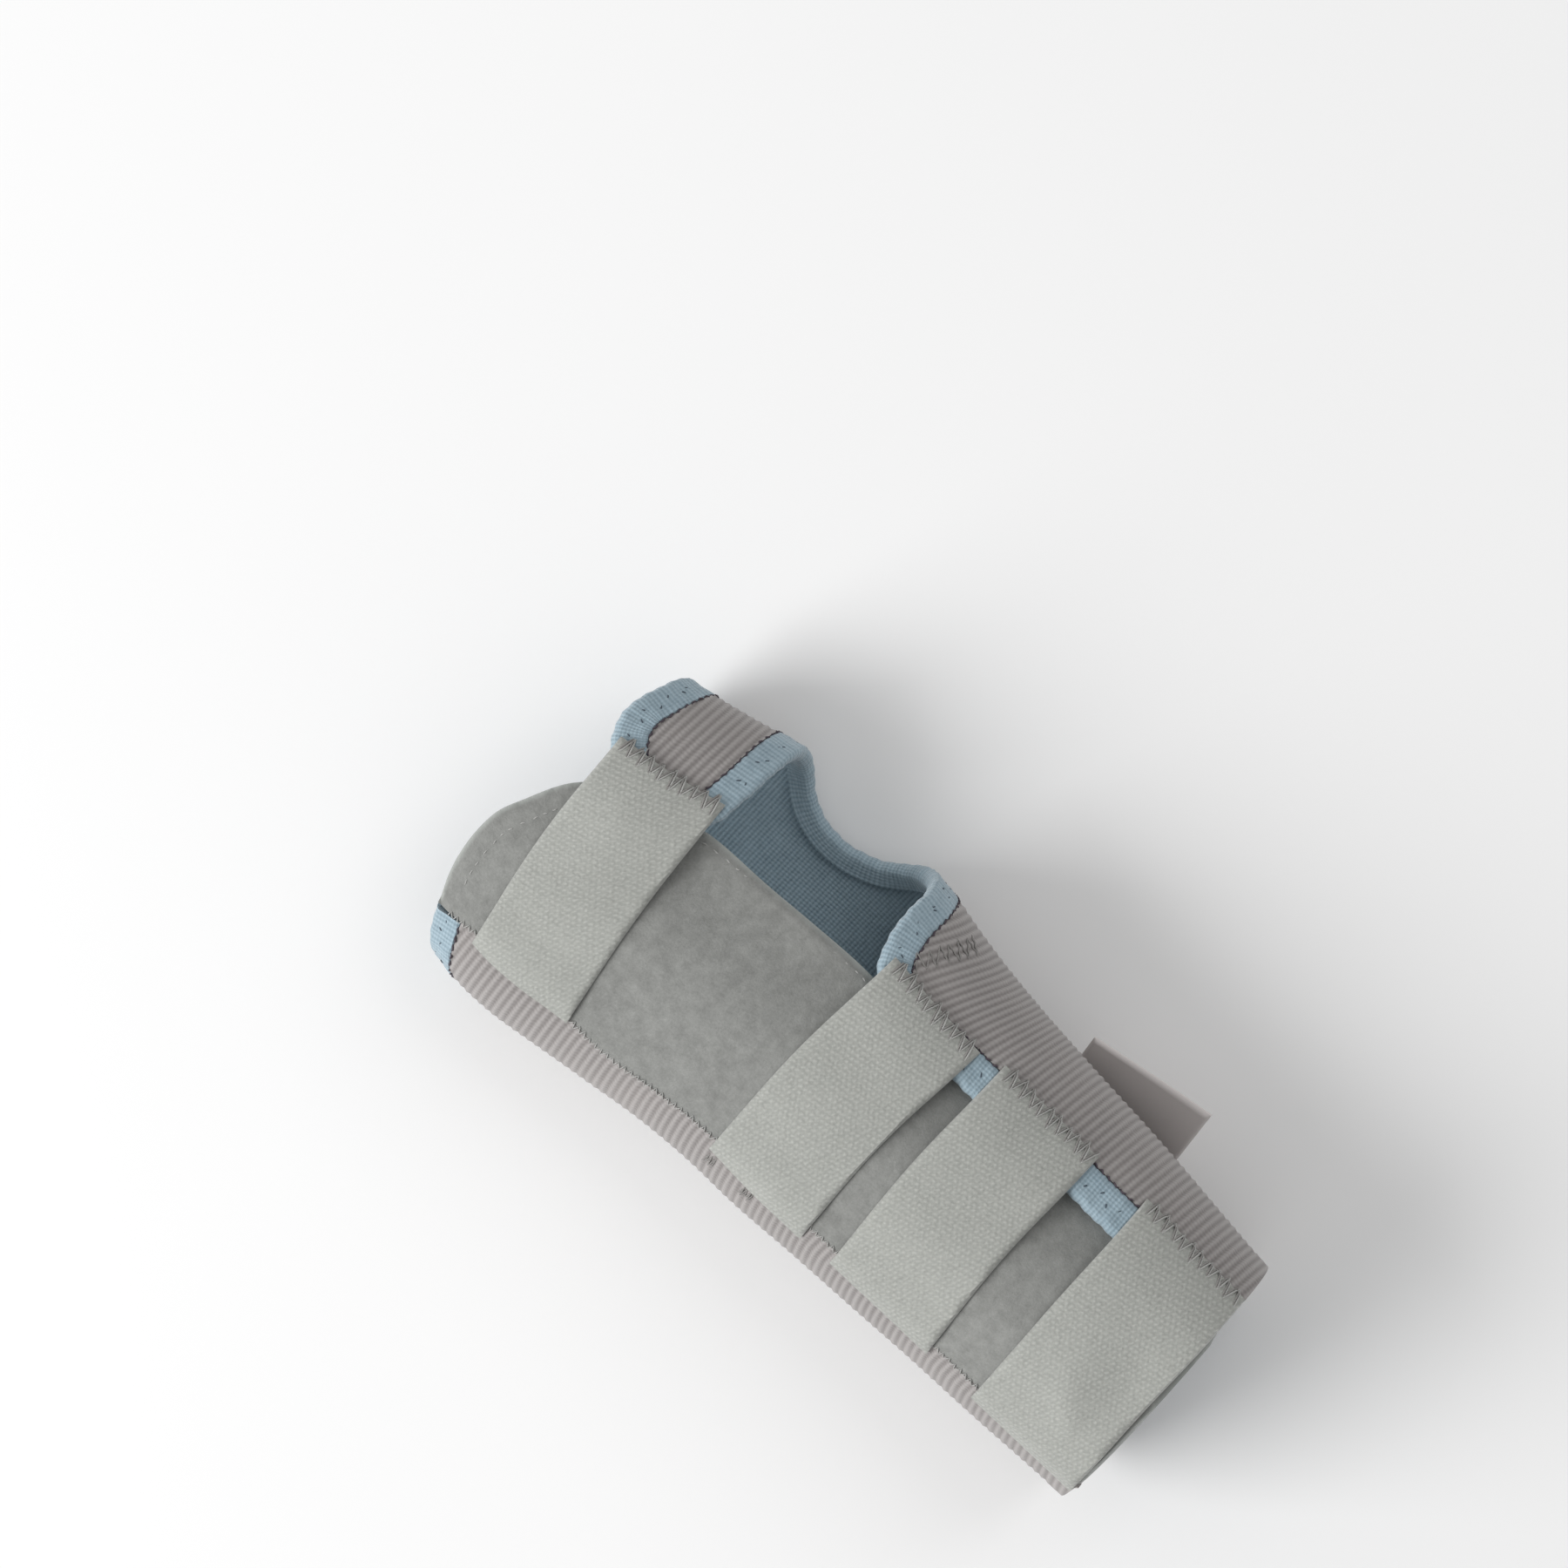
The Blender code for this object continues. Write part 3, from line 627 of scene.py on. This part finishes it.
def grey_velour():
    """Short pile: fine grain, mottling where it is brushed one way or the other, and a painted
    highlight along the free edge.
    """
    look, tree, shader = new_look("grey velour", Roughness=0.95, Sheen_Weight=0.5,
                                  Sheen_Roughness=0.35)
    uv = cloth_place(tree)[0]
    grain = noise(tree, uv, 1.7, 5.0, 0.75)
    brushed = noise(tree, uv, 0.33, 5.0, 0.65)
    broad = noise(tree, uv, 0.06, 2.0)
    tone = (grain * 0.7 + brushed * 0.9 + broad * 0.4 - 0.5).clamped()
    colour = blend_colours(tree, tone, VELOUR_SHADE, VELOUR_COLOUR)
    # Within about 1.3 mm of the free edge the pile is painted lighter: a painted highlight on the
    # rounded edge
    rim = shader_node(tree, "ShaderNodeAttribute", {"attribute_name": "rim"}, {}, "Fac")
    edge_highlight = (1.0 - rim / 1.3).clamped() * 0.55
    colour = blend_colours(tree, edge_highlight, colour, RIM_HIGHLIGHT_COLOUR)
    finish_look(tree, shader, colour, grain + brushed * 0.6, 0.00022, 0.7)
    return look


points, faces, uv = cut_sheet(PANEL, panel_base, velour_top, 1.2, 0.25)
panel = new_piece("velour_panel", points, faces, grey_velour(), uv, ["palm_panel"])
rim = panel.data.attributes.new("rim", "FLOAT", "POINT")
rim.data.foreach_set("value", distance_to(uv, PANEL_FREE, closed=False).astype(np.float32))

# Edge tapes
# Light-blue knitted tape folded over the free edge and sewn through, so its outer leg puckers
# and the fold is round. Three lengths meet under the palm strap and the wrist strap.
TAPE_HEM, TAPE_FLAT = 5.0, 0.015
PUCKER, PUCKER_PITCH, FOLD_REACH = 0.34, 3.4, 1.3
END_GAP = 0.15


def tape_profile():
    """Closed section, inwards from the edge and depth: outer leg, round fold, inner leg."""
    outer, inner = WALL, -FOLD_SLACK - TAPE_THICK
    bend = np.linspace(0.5 * np.pi, 1.5 * np.pi, 11)
    tall, centre = (outer - inner) / 2.0, (outer + inner) / 2.0
    fold = np.stack([FOLD_REACH + FOLD_REACH * np.cos(bend), centre + tall * np.sin(bend)], axis=1)
    outer_leg = np.stack([np.linspace(TAPE_WIDTH, 1.9, 8), np.full(8, outer)], axis=1)
    outer_leg[0] = (TAPE_WIDTH, outer - 0.45)
    outer_leg[1, 0] = TAPE_WIDTH - 0.35
    inner_leg = np.array([(3.0, inner), (TAPE_HEM, inner), (TAPE_HEM, -FOLD_SLACK),
                          (3.0, -FOLD_SLACK), (TAPE_THICK, -FOLD_SLACK)])
    back = np.array([(TAPE_THICK, PANEL_BASE), (3.0, PANEL_BASE), (5.3, PANEL_BASE),
                     (TAPE_WIDTH, PANEL_BASE)])
    return np.concatenate([outer_leg, fold, inner_leg, back])


def tape_points(path, steps, across, depth):
    """Points at `across` inwards of each place on the path, at `depth` on the risen skin."""
    spots = path[:, None] + steps[:, None] * across[..., None]
    girth = spots[..., 1] / GIRTH
    return place(spots[..., 0] / LENGTH, girth, depth + wing_rise(girth))


def edge_steps(path):
    """Unit steps into the cloth along a stretch of the free edge."""
    first = int(np.abs(FREE_EDGE - path[0]).sum(axis=1).argmin())
    return inward(FREE_EDGE)[first:first + len(path)]


def folded_tape(name, path, look, nodes):
    """The section carried along the path; the outer leg rises and falls between its stitches."""
    steps = edge_steps(path)
    profile = tape_profile()
    across = np.broadcast_to(profile[None, :, 0], (len(path), len(profile))).copy()
    run = path_length(path)[:, None]
    outer = (profile[None, :, 1] > PANEL_BASE + 0.3) & (across > 0.9)
    middle = np.exp(-((across - 0.5 * TAPE_WIDTH) / 1.5) ** 2)
    ripple = np.sin(2.0 * np.pi * run / PUCKER_PITCH) + 0.6 * np.sin(2.0 * np.pi * run / 7.7 + 1.0)
    dip = np.where(outer, -0.16 * middle + PUCKER * 0.5 * ripple * (1.0 - 0.6 * middle), 0.0)
    dip = np.where(across > TAPE_WIDTH - 0.6, dip * 0.5, dip)
    across += np.where(across < 1.0, 0.12 * ripple, 0.0)
    points = tape_points(path, steps, across, profile[None, :, 1] + dip - 0.05)
    rows, sides = points.shape[:2]
    i, k = np.meshgrid(np.arange(rows - 1), np.arange(sides), indexing="ij")
    a, b = i * sides + k, i * sides + (k + 1) % sides
    faces = np.stack([a, b, b + sides, a + sides], axis=-1).reshape(-1, 4).tolist()
    faces += [list(range(sides)), list(reversed(range((rows - 1) * sides, rows * sides)))]
    uv = np.stack(np.broadcast_arrays(run, path_length(profile)[None]), axis=-1).reshape(-1, 2)
    return new_piece(name, points.reshape(-1, 3), faces, look, uv, nodes)


tape_look = blue_knit("tape knit", 1.0, 0.28)
for name, path, node in zip(("knuckle_tape", "thumb_tape", "wing_tape"), EDGES,
                            ("knuckle_binding", "thumb_binding", "wing_binding")):
    path = path.copy()
    path[0] += (path[1] - path[0]) * END_GAP
    path[-1] += (path[-2] - path[-1]) * END_GAP
    tape = folded_tape(name, path, tape_look, [node])

# Straps
# Four 30 mm loop-faced straps, light grey, each laid over wing or web at the thumb side, over
# the panel, and down to the seam on the little-finger side.
STRAP_THICK, STRAP_ROUND = 1.5, 0.8
ZIGZAG_PITCH, ZIGZAG_REACH = 2.8, 4.4
STRAP_ON_WING_TO, STRAP_ON_PANEL_FROM = -0.063, 0.07
# Girth of the thumb end and of the seam end, then each long edge's along at three places
STRAPS = {
    "strap_palm": (-0.112, 0.172, (0.048, 0.058, 0.083), (0.187, 0.200, 0.223)),
    "strap_wrist": (-0.105, 0.178, (0.442, 0.432, 0.437), (0.584, 0.573, 0.581)),
    "strap_middle": (-0.115, 0.174, (0.614, 0.612, 0.624), (0.760, 0.758, 0.773)),
    "strap_forearm": (-0.121, 0.176, (0.831, 0.833, 0.843), (0.987, 0.988, 0.996)),
}
STRAP_COLOUR, STRAP_SHADE = (0.46, 0.468, 0.438), (0.25, 0.256, 0.238)


def strap_base(along, girth):
    """Level below a strap: the wing at its thumb end, eased down to the panel, then the sleeve."""
    on_wing = WALL + wing_rise(girth + 1.0)
    on_panel = np.maximum(panel_top(along, girth), WALL)
    down = (girth - STRAP_ON_WING_TO) / (STRAP_ON_PANEL_FROM - STRAP_ON_WING_TO)
    return on_wing + (on_panel - on_wing) * ease(down) + GAP


def strap_outline(first, last, distal, proximal):
    """Two long edges, each a parabola through three places, and the two cut ends."""
    middle = (first + last) / 2.0
    there = smooth_path(list(zip(distal, (first, middle, last))), 0.8)
    back = smooth_path(list(zip(proximal, (first, middle, last))), 0.8)[::-1]
    far = there[-1] + (back[0] - there[-1]) * np.linspace(0.0, 1.0, 38)[1:-1, None]
    near = back[-1] + (there[0] - back[-1]) * np.linspace(0.0, 1.0, 38)[1:-1, None]
    return np.concatenate([there, far, back, near])


def loop_strap():
    """Rows of small loops along the strap, pressed in places, with a finer felted grain."""
    look, tree, shader = new_look("loop strap", Roughness=0.93, Sheen_Weight=0.4,
                                  Sheen_Roughness=0.4)
    uv, along, across = cloth_place(tree)
    fuzz = noise(tree, uv, 1.9, 5.0, 0.7)
    drift = noise(tree, uv, 0.6, 2.0)
    rows = ((across + along * 0.25 + drift * 0.7) * (2.0 * np.pi / 1.2)).sine() * 0.5 + 0.5
    lines = ((along + across * 0.35 + drift * 0.7) * (2.0 * np.pi / 1.15)).sine() * 0.5 + 0.5
    loops = shader_node(tree, "ShaderNodeTexVoronoi", {}, {"Vector": uv, "Scale": 1.5,
                                                           "Randomness": 1.0})
    broad = noise(tree, uv, 0.07, 3.0)
    weave = rows * lines
    tone = (weave * 0.3 - loops * 0.3 + fuzz * 0.75 + broad * 0.35 - 0.1).clamped()
    colour = blend_colours(tree, tone, STRAP_SHADE, STRAP_COLOUR)
    finish_look(tree, shader, colour, weave * 0.7 + fuzz * 0.6 - loops * 0.3, 0.00018, 0.8)
    return look


def build_strap(name, row, look):
    """Strap with rounded long edges, a slight bow across it and soft waves."""
    outline = strap_outline(*row)

    def top(along, girth):
        """Outer face: the level below plus the thickness, less where the ends are sewn down."""
        spots = np.stack([along * LENGTH, girth * GIRTH], axis=1)
        deep = distance_to(spots, outline)
        fall = rounded(deep / STRAP_ROUND)
        bulge = 0.12 * ease(deep / 10.0) + 0.14 * waves(along, girth, 26.0, 5.0 + len(name))
        sewn = ease(1.0 - (row[1] - girth) * GIRTH / 5.0)
        pulled = np.exp(-((girth - row[0]) * GIRTH / 3.0) ** 2)
        sewn += pulled * (0.3 + 0.2 * np.sin(along * LENGTH * 2.0 * np.pi / ZIGZAG_PITCH))
        return strap_base(along, girth) + 0.35 + (STRAP_THICK - 0.35 - sewn) * fall + bulge * fall

    points, faces, uv = cut_sheet(outline, strap_base, top, 1.0, 0.3)
    return new_piece(name + "_webbing", points, faces, look, uv, [name]), outline, top


strap_look = loop_strap()
strap_tops = {}
for name, row in STRAPS.items():
    piece, outline, top = build_strap(name, row, strap_look)
    strap_tops[name] = top

# Stitching
# Grey zigzag along the thumb-side ends of the straps, dark overlock dashes where the tape meets
# the sleeve, and small bar tacks at the seam. The threads are 0.3 to 0.5 mm thick.
THREAD = 0.22
# The darker grey is the thread of the wing zigzag and the bar tacks, and painted shadow beside the
# pale strap zigzags
THREAD_AND_SHADOW_COLOUR, PALE_THREAD_COLOUR = (0.26, 0.25, 0.24), (0.42, 0.42, 0.405)
OVERLOCK_COLOUR, TAPE_THREAD_COLOUR = (0.06, 0.045, 0.06), (0.055, 0.075, 0.10)
# Colour of the painted shade in the web's dents
DENT_SHADE_COLOUR = (0.12, 0.19, 0.24)
WING_ZIGZAG_AT, WING_ZIGZAG_FROM, WING_ZIGZAG_TO = 0.447, 0.887, 0.80
# Each bar tack's along, girth and length in millimetres
BAR_TACKS = ((0.447, 0.193, 3.6), (0.503, 0.189, 4.2))


def thread_look(name, colour):
    """Twisted thread, its plies painted darker in the furrows as painted shade."""
    look, tree, shader = new_look(name, Roughness=0.7)
    _, along, across = cloth_place(tree)
    twist = ((along * 9.0 + across * 3.0)).sine() * 0.5 + 0.5
    shade = blend_colours(tree, twist * 0.5, colour, tuple(0.6 * c for c in colour))
    finish_look(tree, shader, shade, twist, 0.00005, 0.5)
    return look


def sew(name, lines, radius, look):
    """Tubes of six sides along many lines of equally many points, joined in one mesh."""
    lines = np.asarray(lines)
    count, steps, _ = lines.shape
    tangent = np.gradient(lines, axis=1)
    tangent /= np.linalg.norm(tangent, axis=2, keepdims=True) + 1e-9
    up = np.array([0.0, 0.0, 1.0]) + 0.0 * tangent
    side = np.cross(tangent, up)
    side /= np.linalg.norm(side, axis=2, keepdims=True) + 1e-9
    up = np.cross(side, tangent)
    turn = np.arange(6) / 6.0 * 2.0 * np.pi
    taper = np.ones(steps)
    taper[0] = taper[-1] = 0.35
    ring = (side[:, :, None] * np.cos(turn)[None, None, :, None]
            + up[:, :, None] * np.sin(turn)[None, None, :, None])
    points = lines[:, :, None] + ring * (radius * taper)[None, :, None, None]
    block, i, k = np.meshgrid(np.arange(count), np.arange(steps - 1), np.arange(6), indexing="ij")
    base = block * steps * 6 + i * 6
    a, b = base + k, base + (k + 1) % 6
    faces = np.stack([a, b, b + 6, a + 6], axis=-1).reshape(-1, 4).tolist()
    starts = np.arange(count) * steps * 6
    faces += [[int(s) + k for k in range(6)] for s in starts]
    faces += [[int(s) + (steps - 1) * 6 + k for k in reversed(range(6))] for s in starts]
    uv = np.stack(np.broadcast_arrays(np.arange(count * steps).reshape(count, steps, 1) * 1.0,
                                      np.arange(6.0)[None, None]), axis=-1).reshape(-1, 2)
    return new_piece(name, points.reshape(-1, 3), faces, look, uv, ())


def shares(spots):
    """Millimetres on the unrolled surface as shares along and round."""
    return spots[..., 0] / LENGTH, spots[..., 1] / GIRTH


def stitches(path, length, pitch, wander, steps=4):
    """Short runs along a path, one every `pitch`, that wander off it in a sine."""
    run = path_length(path)
    starts = np.arange(0.6, run[-1] - length - 0.3, pitch)
    starts += 0.15 * pitch * np.sin(starts * 2.7)
    at = starts[:, None] + np.linspace(0.0, length, steps)[None]
    spots = np.stack([np.interp(at, run, path[:, c]) for c in (0, 1)], axis=-1)
    away = np.stack([np.interp(at, run, inward(path)[:, c]) for c in (0, 1)], axis=-1)
    return spots + away * (wander * np.sin(at * 3.3))[..., None]


def zigzag(path, reach, pitch, steps=6):
    """Straight legs that cross a path from side to side, two for every `pitch`."""
    run = path_length(path)
    at = np.arange(0.4, run[-1] - 0.4, pitch / 2.0)
    at = at + 0.12 * pitch * np.sin(at * 3.1)
    side = np.where(np.arange(len(at)) % 2 == 0, -0.5, 0.5) * (1.0 + 0.18 * np.sin(at * 5.3))
    spots = np.stack([np.interp(at, run, path[:, c]) for c in (0, 1)], axis=-1)
    away = np.stack([np.interp(at, run, inward(path)[:, c]) for c in (0, 1)], axis=-1)
    knots = spots + away * (reach * side)[:, None]
    share = np.linspace(0.0, 1.0, steps)[None, :, None]
    return knots[:-1, None] * (1.0 - share) + knots[1:, None] * share


def arch(steps, low, high):
    """Height of a stitch over the cloth: it dives in at both ends."""
    return low + (high - low) * np.sin(np.pi * np.linspace(0.0, 1.0, steps))


thread = thread_look("grey thread", THREAD_AND_SHADOW_COLOUR)
pale_thread = thread_look("pale grey thread", PALE_THREAD_COLOUR)
for name, (first, _, distal, proximal) in STRAPS.items():
    ends = flat([(distal[0], first), (proximal[0], first)])
    share = np.linspace(0.03, 0.98, 60)[:, None]
    path = ends[0] * (1.0 - share) + ends[1] * share + (0.0, 1.0)
    # Each strap zigzag is drawn twice: the darker grey copy is painted shadow, and the pale copy
    # set 0.5 mm along the arm is the thread
    for look, shift, size in ((thread, 0.0, THREAD), (pale_thread, 0.5, 0.95 * THREAD)):
        legs = zigzag(path + (shift, 0.0), ZIGZAG_REACH, ZIGZAG_PITCH)
        along, girth = shares(legs)
        on = strap_tops[name](along.ravel(), girth.ravel()).reshape(along.shape)
        off = sleeve_outer(along, girth + 1.0)
        level = np.where(girth > first, on, off) + arch(legs.shape[1], 0.0, 0.16)
        sew(f"{name}_zigzag_{look.name.split()[0]}", place(along, girth, level), size, look)

# The wing's own zigzag, beside the tape on its distal edge
at = np.linspace(WING_ZIGZAG_FROM, WING_ZIGZAG_TO, 30) * GIRTH
rib = WING_ZIGZAG_AT * LENGTH
line = np.stack([rib + rib_bow(rib, at), at], axis=1)
legs = zigzag(line, 4.2, 2.6)
along, girth = shares(legs)
level = sleeve_outer(along, girth) + arch(legs.shape[1], 0.05, 0.16)
sew("wing_zigzag", place(along, girth, level), 0.2, thread)

# Overlock along the tape's inner edge, and the tape's own stitches through all layers
overlock = thread_look("dark overlock thread", OVERLOCK_COLOUR)
tape_thread = thread_look("dark blue thread", TAPE_THREAD_COLOUR)
for name, path in zip(("knuckle", "thumb", "wing"), EDGES):
    steps = edge_steps(path)
    spots = stitches(path + steps * (TAPE_WIDTH + 0.05), 1.7, 2.2, 0.25)
    along, girth = shares(spots)
    level = WALL - 0.1 + wing_rise(girth) + arch(4, -0.1, 0.1)
    sew(name + "_overlock", place(along, girth, level), 0.24, overlock)
    rows = [stitches(path + steps * (0.5 * TAPE_WIDTH + shift), 0.9, 3.1, 0.5)[k::2]
            for k, shift in ((0, 0.7), (1, -0.7))]
    along, girth = shares(np.concatenate(rows))
    level = WALL - 0.28 + wing_rise(girth) + arch(4, -0.12, 0.1)
    sew(name + "_stitches", place(along, girth, level), 0.17, tape_thread)

# Dents of the tape's zigzag on the web, drawn as slanted dark strokes: painted shade in the dents
web = EDGES[1][8:25]
legs = zigzag(web + inward(web) * 4.0, 3.6, 4.2)
along, girth = shares(legs)
level = WALL + wing_rise(girth) + arch(legs.shape[1], -0.16, -0.02)
dent_shade = thread_look("blue dent", DENT_SHADE_COLOUR)
sew("web_dent_shade", place(along, girth, level), 0.2, dent_shade)

# Stitching round the panel's rim: close to the edge at the thumb side, further in at the end
share = path_length(PANEL_FREE)
inset_by = RIM_STITCH + 3.0 * ease(1.0 - (share - 45.0) / 45.0)
rim = PANEL_FREE - inward(PANEL_FREE) * inset_by[:, None]
rim = rim[(share > 4.0) & (share < share[-1] - 12.0)]
spots = stitches(rim, 1.6, 2.9, 0.1)
along, girth = shares(spots)
level = velour_top(along.ravel(), girth.ravel()).reshape(along.shape) + arch(4, -0.12, 0.12)
sew("rim_stitches", place(along, girth, level), 0.15, pale_thread)

# The seam on the little-finger side: small slanted stitches over panel and sleeve
seam_legs = zigzag(SEAM_LINE[3:-3], 1.5, 1.7, 4)
along, girth = shares(seam_legs)
level = WALL + 0.0 * along + arch(4, -0.25, 0.05)
sew("seam_stitches", place(along, girth, level), 0.13, pale_thread)

# Two bar tacks on the sleeve beside the seam
for number, (at, round_at, size) in enumerate(BAR_TACKS):
    middle = np.array([at * LENGTH, round_at * GIRTH])
    bar = middle + np.linspace(-0.5, 0.5, 12)[:, None] * (size, 0.0)
    legs = zigzag(bar, 3.2, 0.9, 4)
    along, girth = shares(legs)
    level = sleeve_outer(along, girth) + arch(4, 0.0, 0.2)
    sew(f"bar_tack_{number}", place(along, girth, level), 0.2, thread)

# Back tab
# The end of the hook strap that closes round the back: smooth grey-brown laminate, 32 mm wide,
# sewn flat to the sleeve and standing off it along its tangent.
TAB_THICK, TAB_MIDDLE, TAB_WIDTH = 1.6, 0.766, 32.0
TAB_ROOT = (0.641, 0.664)
TAB_LENGTH, TAB_SLANT, TAB_LEAN, TAB_ROUND = 19.0, 0.29, -0.12, 0.7
TAB_ROW = 0.6
# Both tab colours are painted well lighter than the grey-brown laminate: painted light on a tab
# that the lamps leave in the wing's shadow
TAB_PAINTED_LIGHT_COLOUR, TAB_PAINTED_LIGHT_SHADE = (0.70, 0.66, 0.645), (0.60, 0.565, 0.555)


def smooth_laminate():
    """Faint cloth grain and slow changes of tone under a smooth face, both colours lifted by
    painted light.
    """
    look, tree, shader = new_look("smooth laminate", Roughness=0.62)
    uv = cloth_place(tree)[0]
    grain = noise(tree, uv, 3.0, 3.0)
    broad = noise(tree, uv, 0.15, 2.0)
    colour = blend_colours(tree, (grain * 0.4 + broad * 0.5).clamped(), TAB_PAINTED_LIGHT_SHADE, TAB_PAINTED_LIGHT_COLOUR)
    finish_look(tree, shader, colour, grain, 0.00006, 0.6)
    return look


def tab_grid():
    """Root rows on the sleeve, then straight rows along its tangent, leaning to one side."""
    columns, on, off = 49, 13, 31
    across = np.linspace(-0.5, 0.5, columns) * TAB_WIDTH
    along = TAB_MIDDLE + across / LENGTH
    girth = np.linspace(*TAB_ROOT, on)[:, None]
    root = place(along, girth, WALL + GAP)
    normal = place(along, girth, WALL + GAP + 1.0) - root
    ahead = place(along[0], TAB_ROOT[1] + 0.002, WALL + GAP) - root[-1, 0]
    ahead /= np.linalg.norm(ahead)
    ahead[0] = TAB_LEAN
    free = np.linspace(0.0, 1.0, off + 1)[1:, None] * (TAB_LENGTH + TAB_SLANT * across)
    low = np.concatenate([root, root[-1] + free[..., None] * ahead])
    normal = np.concatenate([normal, np.repeat(normal[-1:], off, axis=0)])
    return low, normal, across


low, normal, across = tab_grid()
rows, columns = low.shape[:2]
rim = np.minimum(np.arange(rows)[:, None] * TAB_ROW + 5.0,
                 np.minimum((rows - 1 - np.arange(rows))[:, None] * 0.62,
                            (0.5 * TAB_WIDTH - np.abs(across))[None, :]))
fall = rounded(rim / TAB_ROUND)
thin = 0.5 * TAB_THICK * (1.0 - fall) * 0.7
points = np.concatenate([(low + normal * thin[..., None]).reshape(-1, 3),
                         (low + normal * (TAB_THICK - thin)[..., None]).reshape(-1, 3)])
i, k = np.meshgrid(np.arange(rows - 1), np.arange(columns - 1), indexing="ij")
a = (i * columns + k).ravel()
cells = np.stack([a, a + 1, a + columns + 1, a + columns], axis=1)
count = rows * columns
faces = cells.tolist() + (cells[:, ::-1] + count).tolist()
faces += [(p, q, count + q, count + p) for p, q in open_edges(cells.tolist())]
tab_uv = np.stack(np.meshgrid(np.arange(rows) * TAB_ROW, across, indexing="ij"), axis=-1)
tab_uv = tab_uv.reshape(-1, 2)
tab = new_piece("tab_end", points, faces, smooth_laminate(), np.concatenate([tab_uv, tab_uv]),
                ["back_tab"])

# Floor, light and camera
# A plain pale floor, a large soft light from the little-finger side, a weaker one opposite and
# an even sky. The camera looks straight down, turned so that the fingers' end is upper left.
FLOOR_COLOUR, FLOOR_SPECK = (0.86, 0.86, 0.86), (0.88, 0.88, 0.88)
look, tree, shader = new_look("pale floor", Roughness=0.9)
speckle = noise(tree, shader_node(tree, "ShaderNodeTexCoord", {}, {}, "Object"), 3.0, 2.0)
tone = blend_colours(tree, speckle, FLOOR_COLOUR, FLOOR_SPECK)
tree.links.new(tone.socket, shader.inputs["Base Color"])
mesh = bpy.data.meshes.new("floor")
mesh.from_pydata([(-4, -4, 0), (4, -4, 0), (4, 4, 0), (-4, 4, 0)], [], [(0, 1, 2, 3)])
mesh.materials.append(look)
floor = bpy.data.objects.new("floor", mesh)
bpy.context.collection.objects.link(floor)

TURN = np.radians(43.0)
RIGHT = Vector((np.cos(TURN), np.sin(TURN), 0.0))
UPWARD = Vector((-np.sin(TURN), np.cos(TURN), 0.0))


def soft_light(name, side, up, height, size, power):
    """Square area light placed in the picture's own directions and aimed at the splint."""
    lamp = bpy.data.lights.new(name, "AREA")
    lamp.shape, lamp.size, lamp.energy = "SQUARE", size, power
    made = bpy.data.objects.new(name, lamp)
    made.location = RIGHT * side + UPWARD * up + Vector((0.0, 0.0, height))
    made.rotation_euler = (-made.location).to_track_quat("-Z", "Y").to_euler()
    bpy.context.collection.objects.link(made)


# Each light's place to the right and up in the picture, height and size in metres, and watts
LIGHTS = {"key": (-1.65, -0.40, 1.00, 1.2, 38.0), "fill": (0.9, 0.8, 1.3, 1.2, 5.5)}
SKY_STRENGTH = 0.5
for name, row in LIGHTS.items():
    soft_light(name, *row)
world = bpy.data.worlds.new("even light")
world.use_nodes = True
world.node_tree.nodes["Background"].inputs["Color"].default_value = (1.0, 1.0, 1.0, 1.0)
world.node_tree.nodes["Background"].inputs["Strength"].default_value = SKY_STRENGTH
bpy.context.scene.world = world
bpy.context.scene.view_settings.view_transform = "Standard"

PICTURE_WIDTH, CAMERA_HEIGHT, SUBJECT_HEIGHT = 0.3495, 1.45, 0.040
AIM = Vector((-0.0557, 0.0432, 0.0)) + Vector(SHIFT * 0.001)
camera = bpy.data.cameras.new("camera")
camera.sensor_width = 36.0
camera.lens = 36.0 * (CAMERA_HEIGHT - SUBJECT_HEIGHT) / PICTURE_WIDTH
viewer = bpy.data.objects.new("camera", camera)
viewer.location = (AIM.x, AIM.y, CAMERA_HEIGHT)
viewer.rotation_euler = (0.0, 0.0, TURN)
bpy.context.collection.objects.link(viewer)
bpy.context.scene.camera = viewer
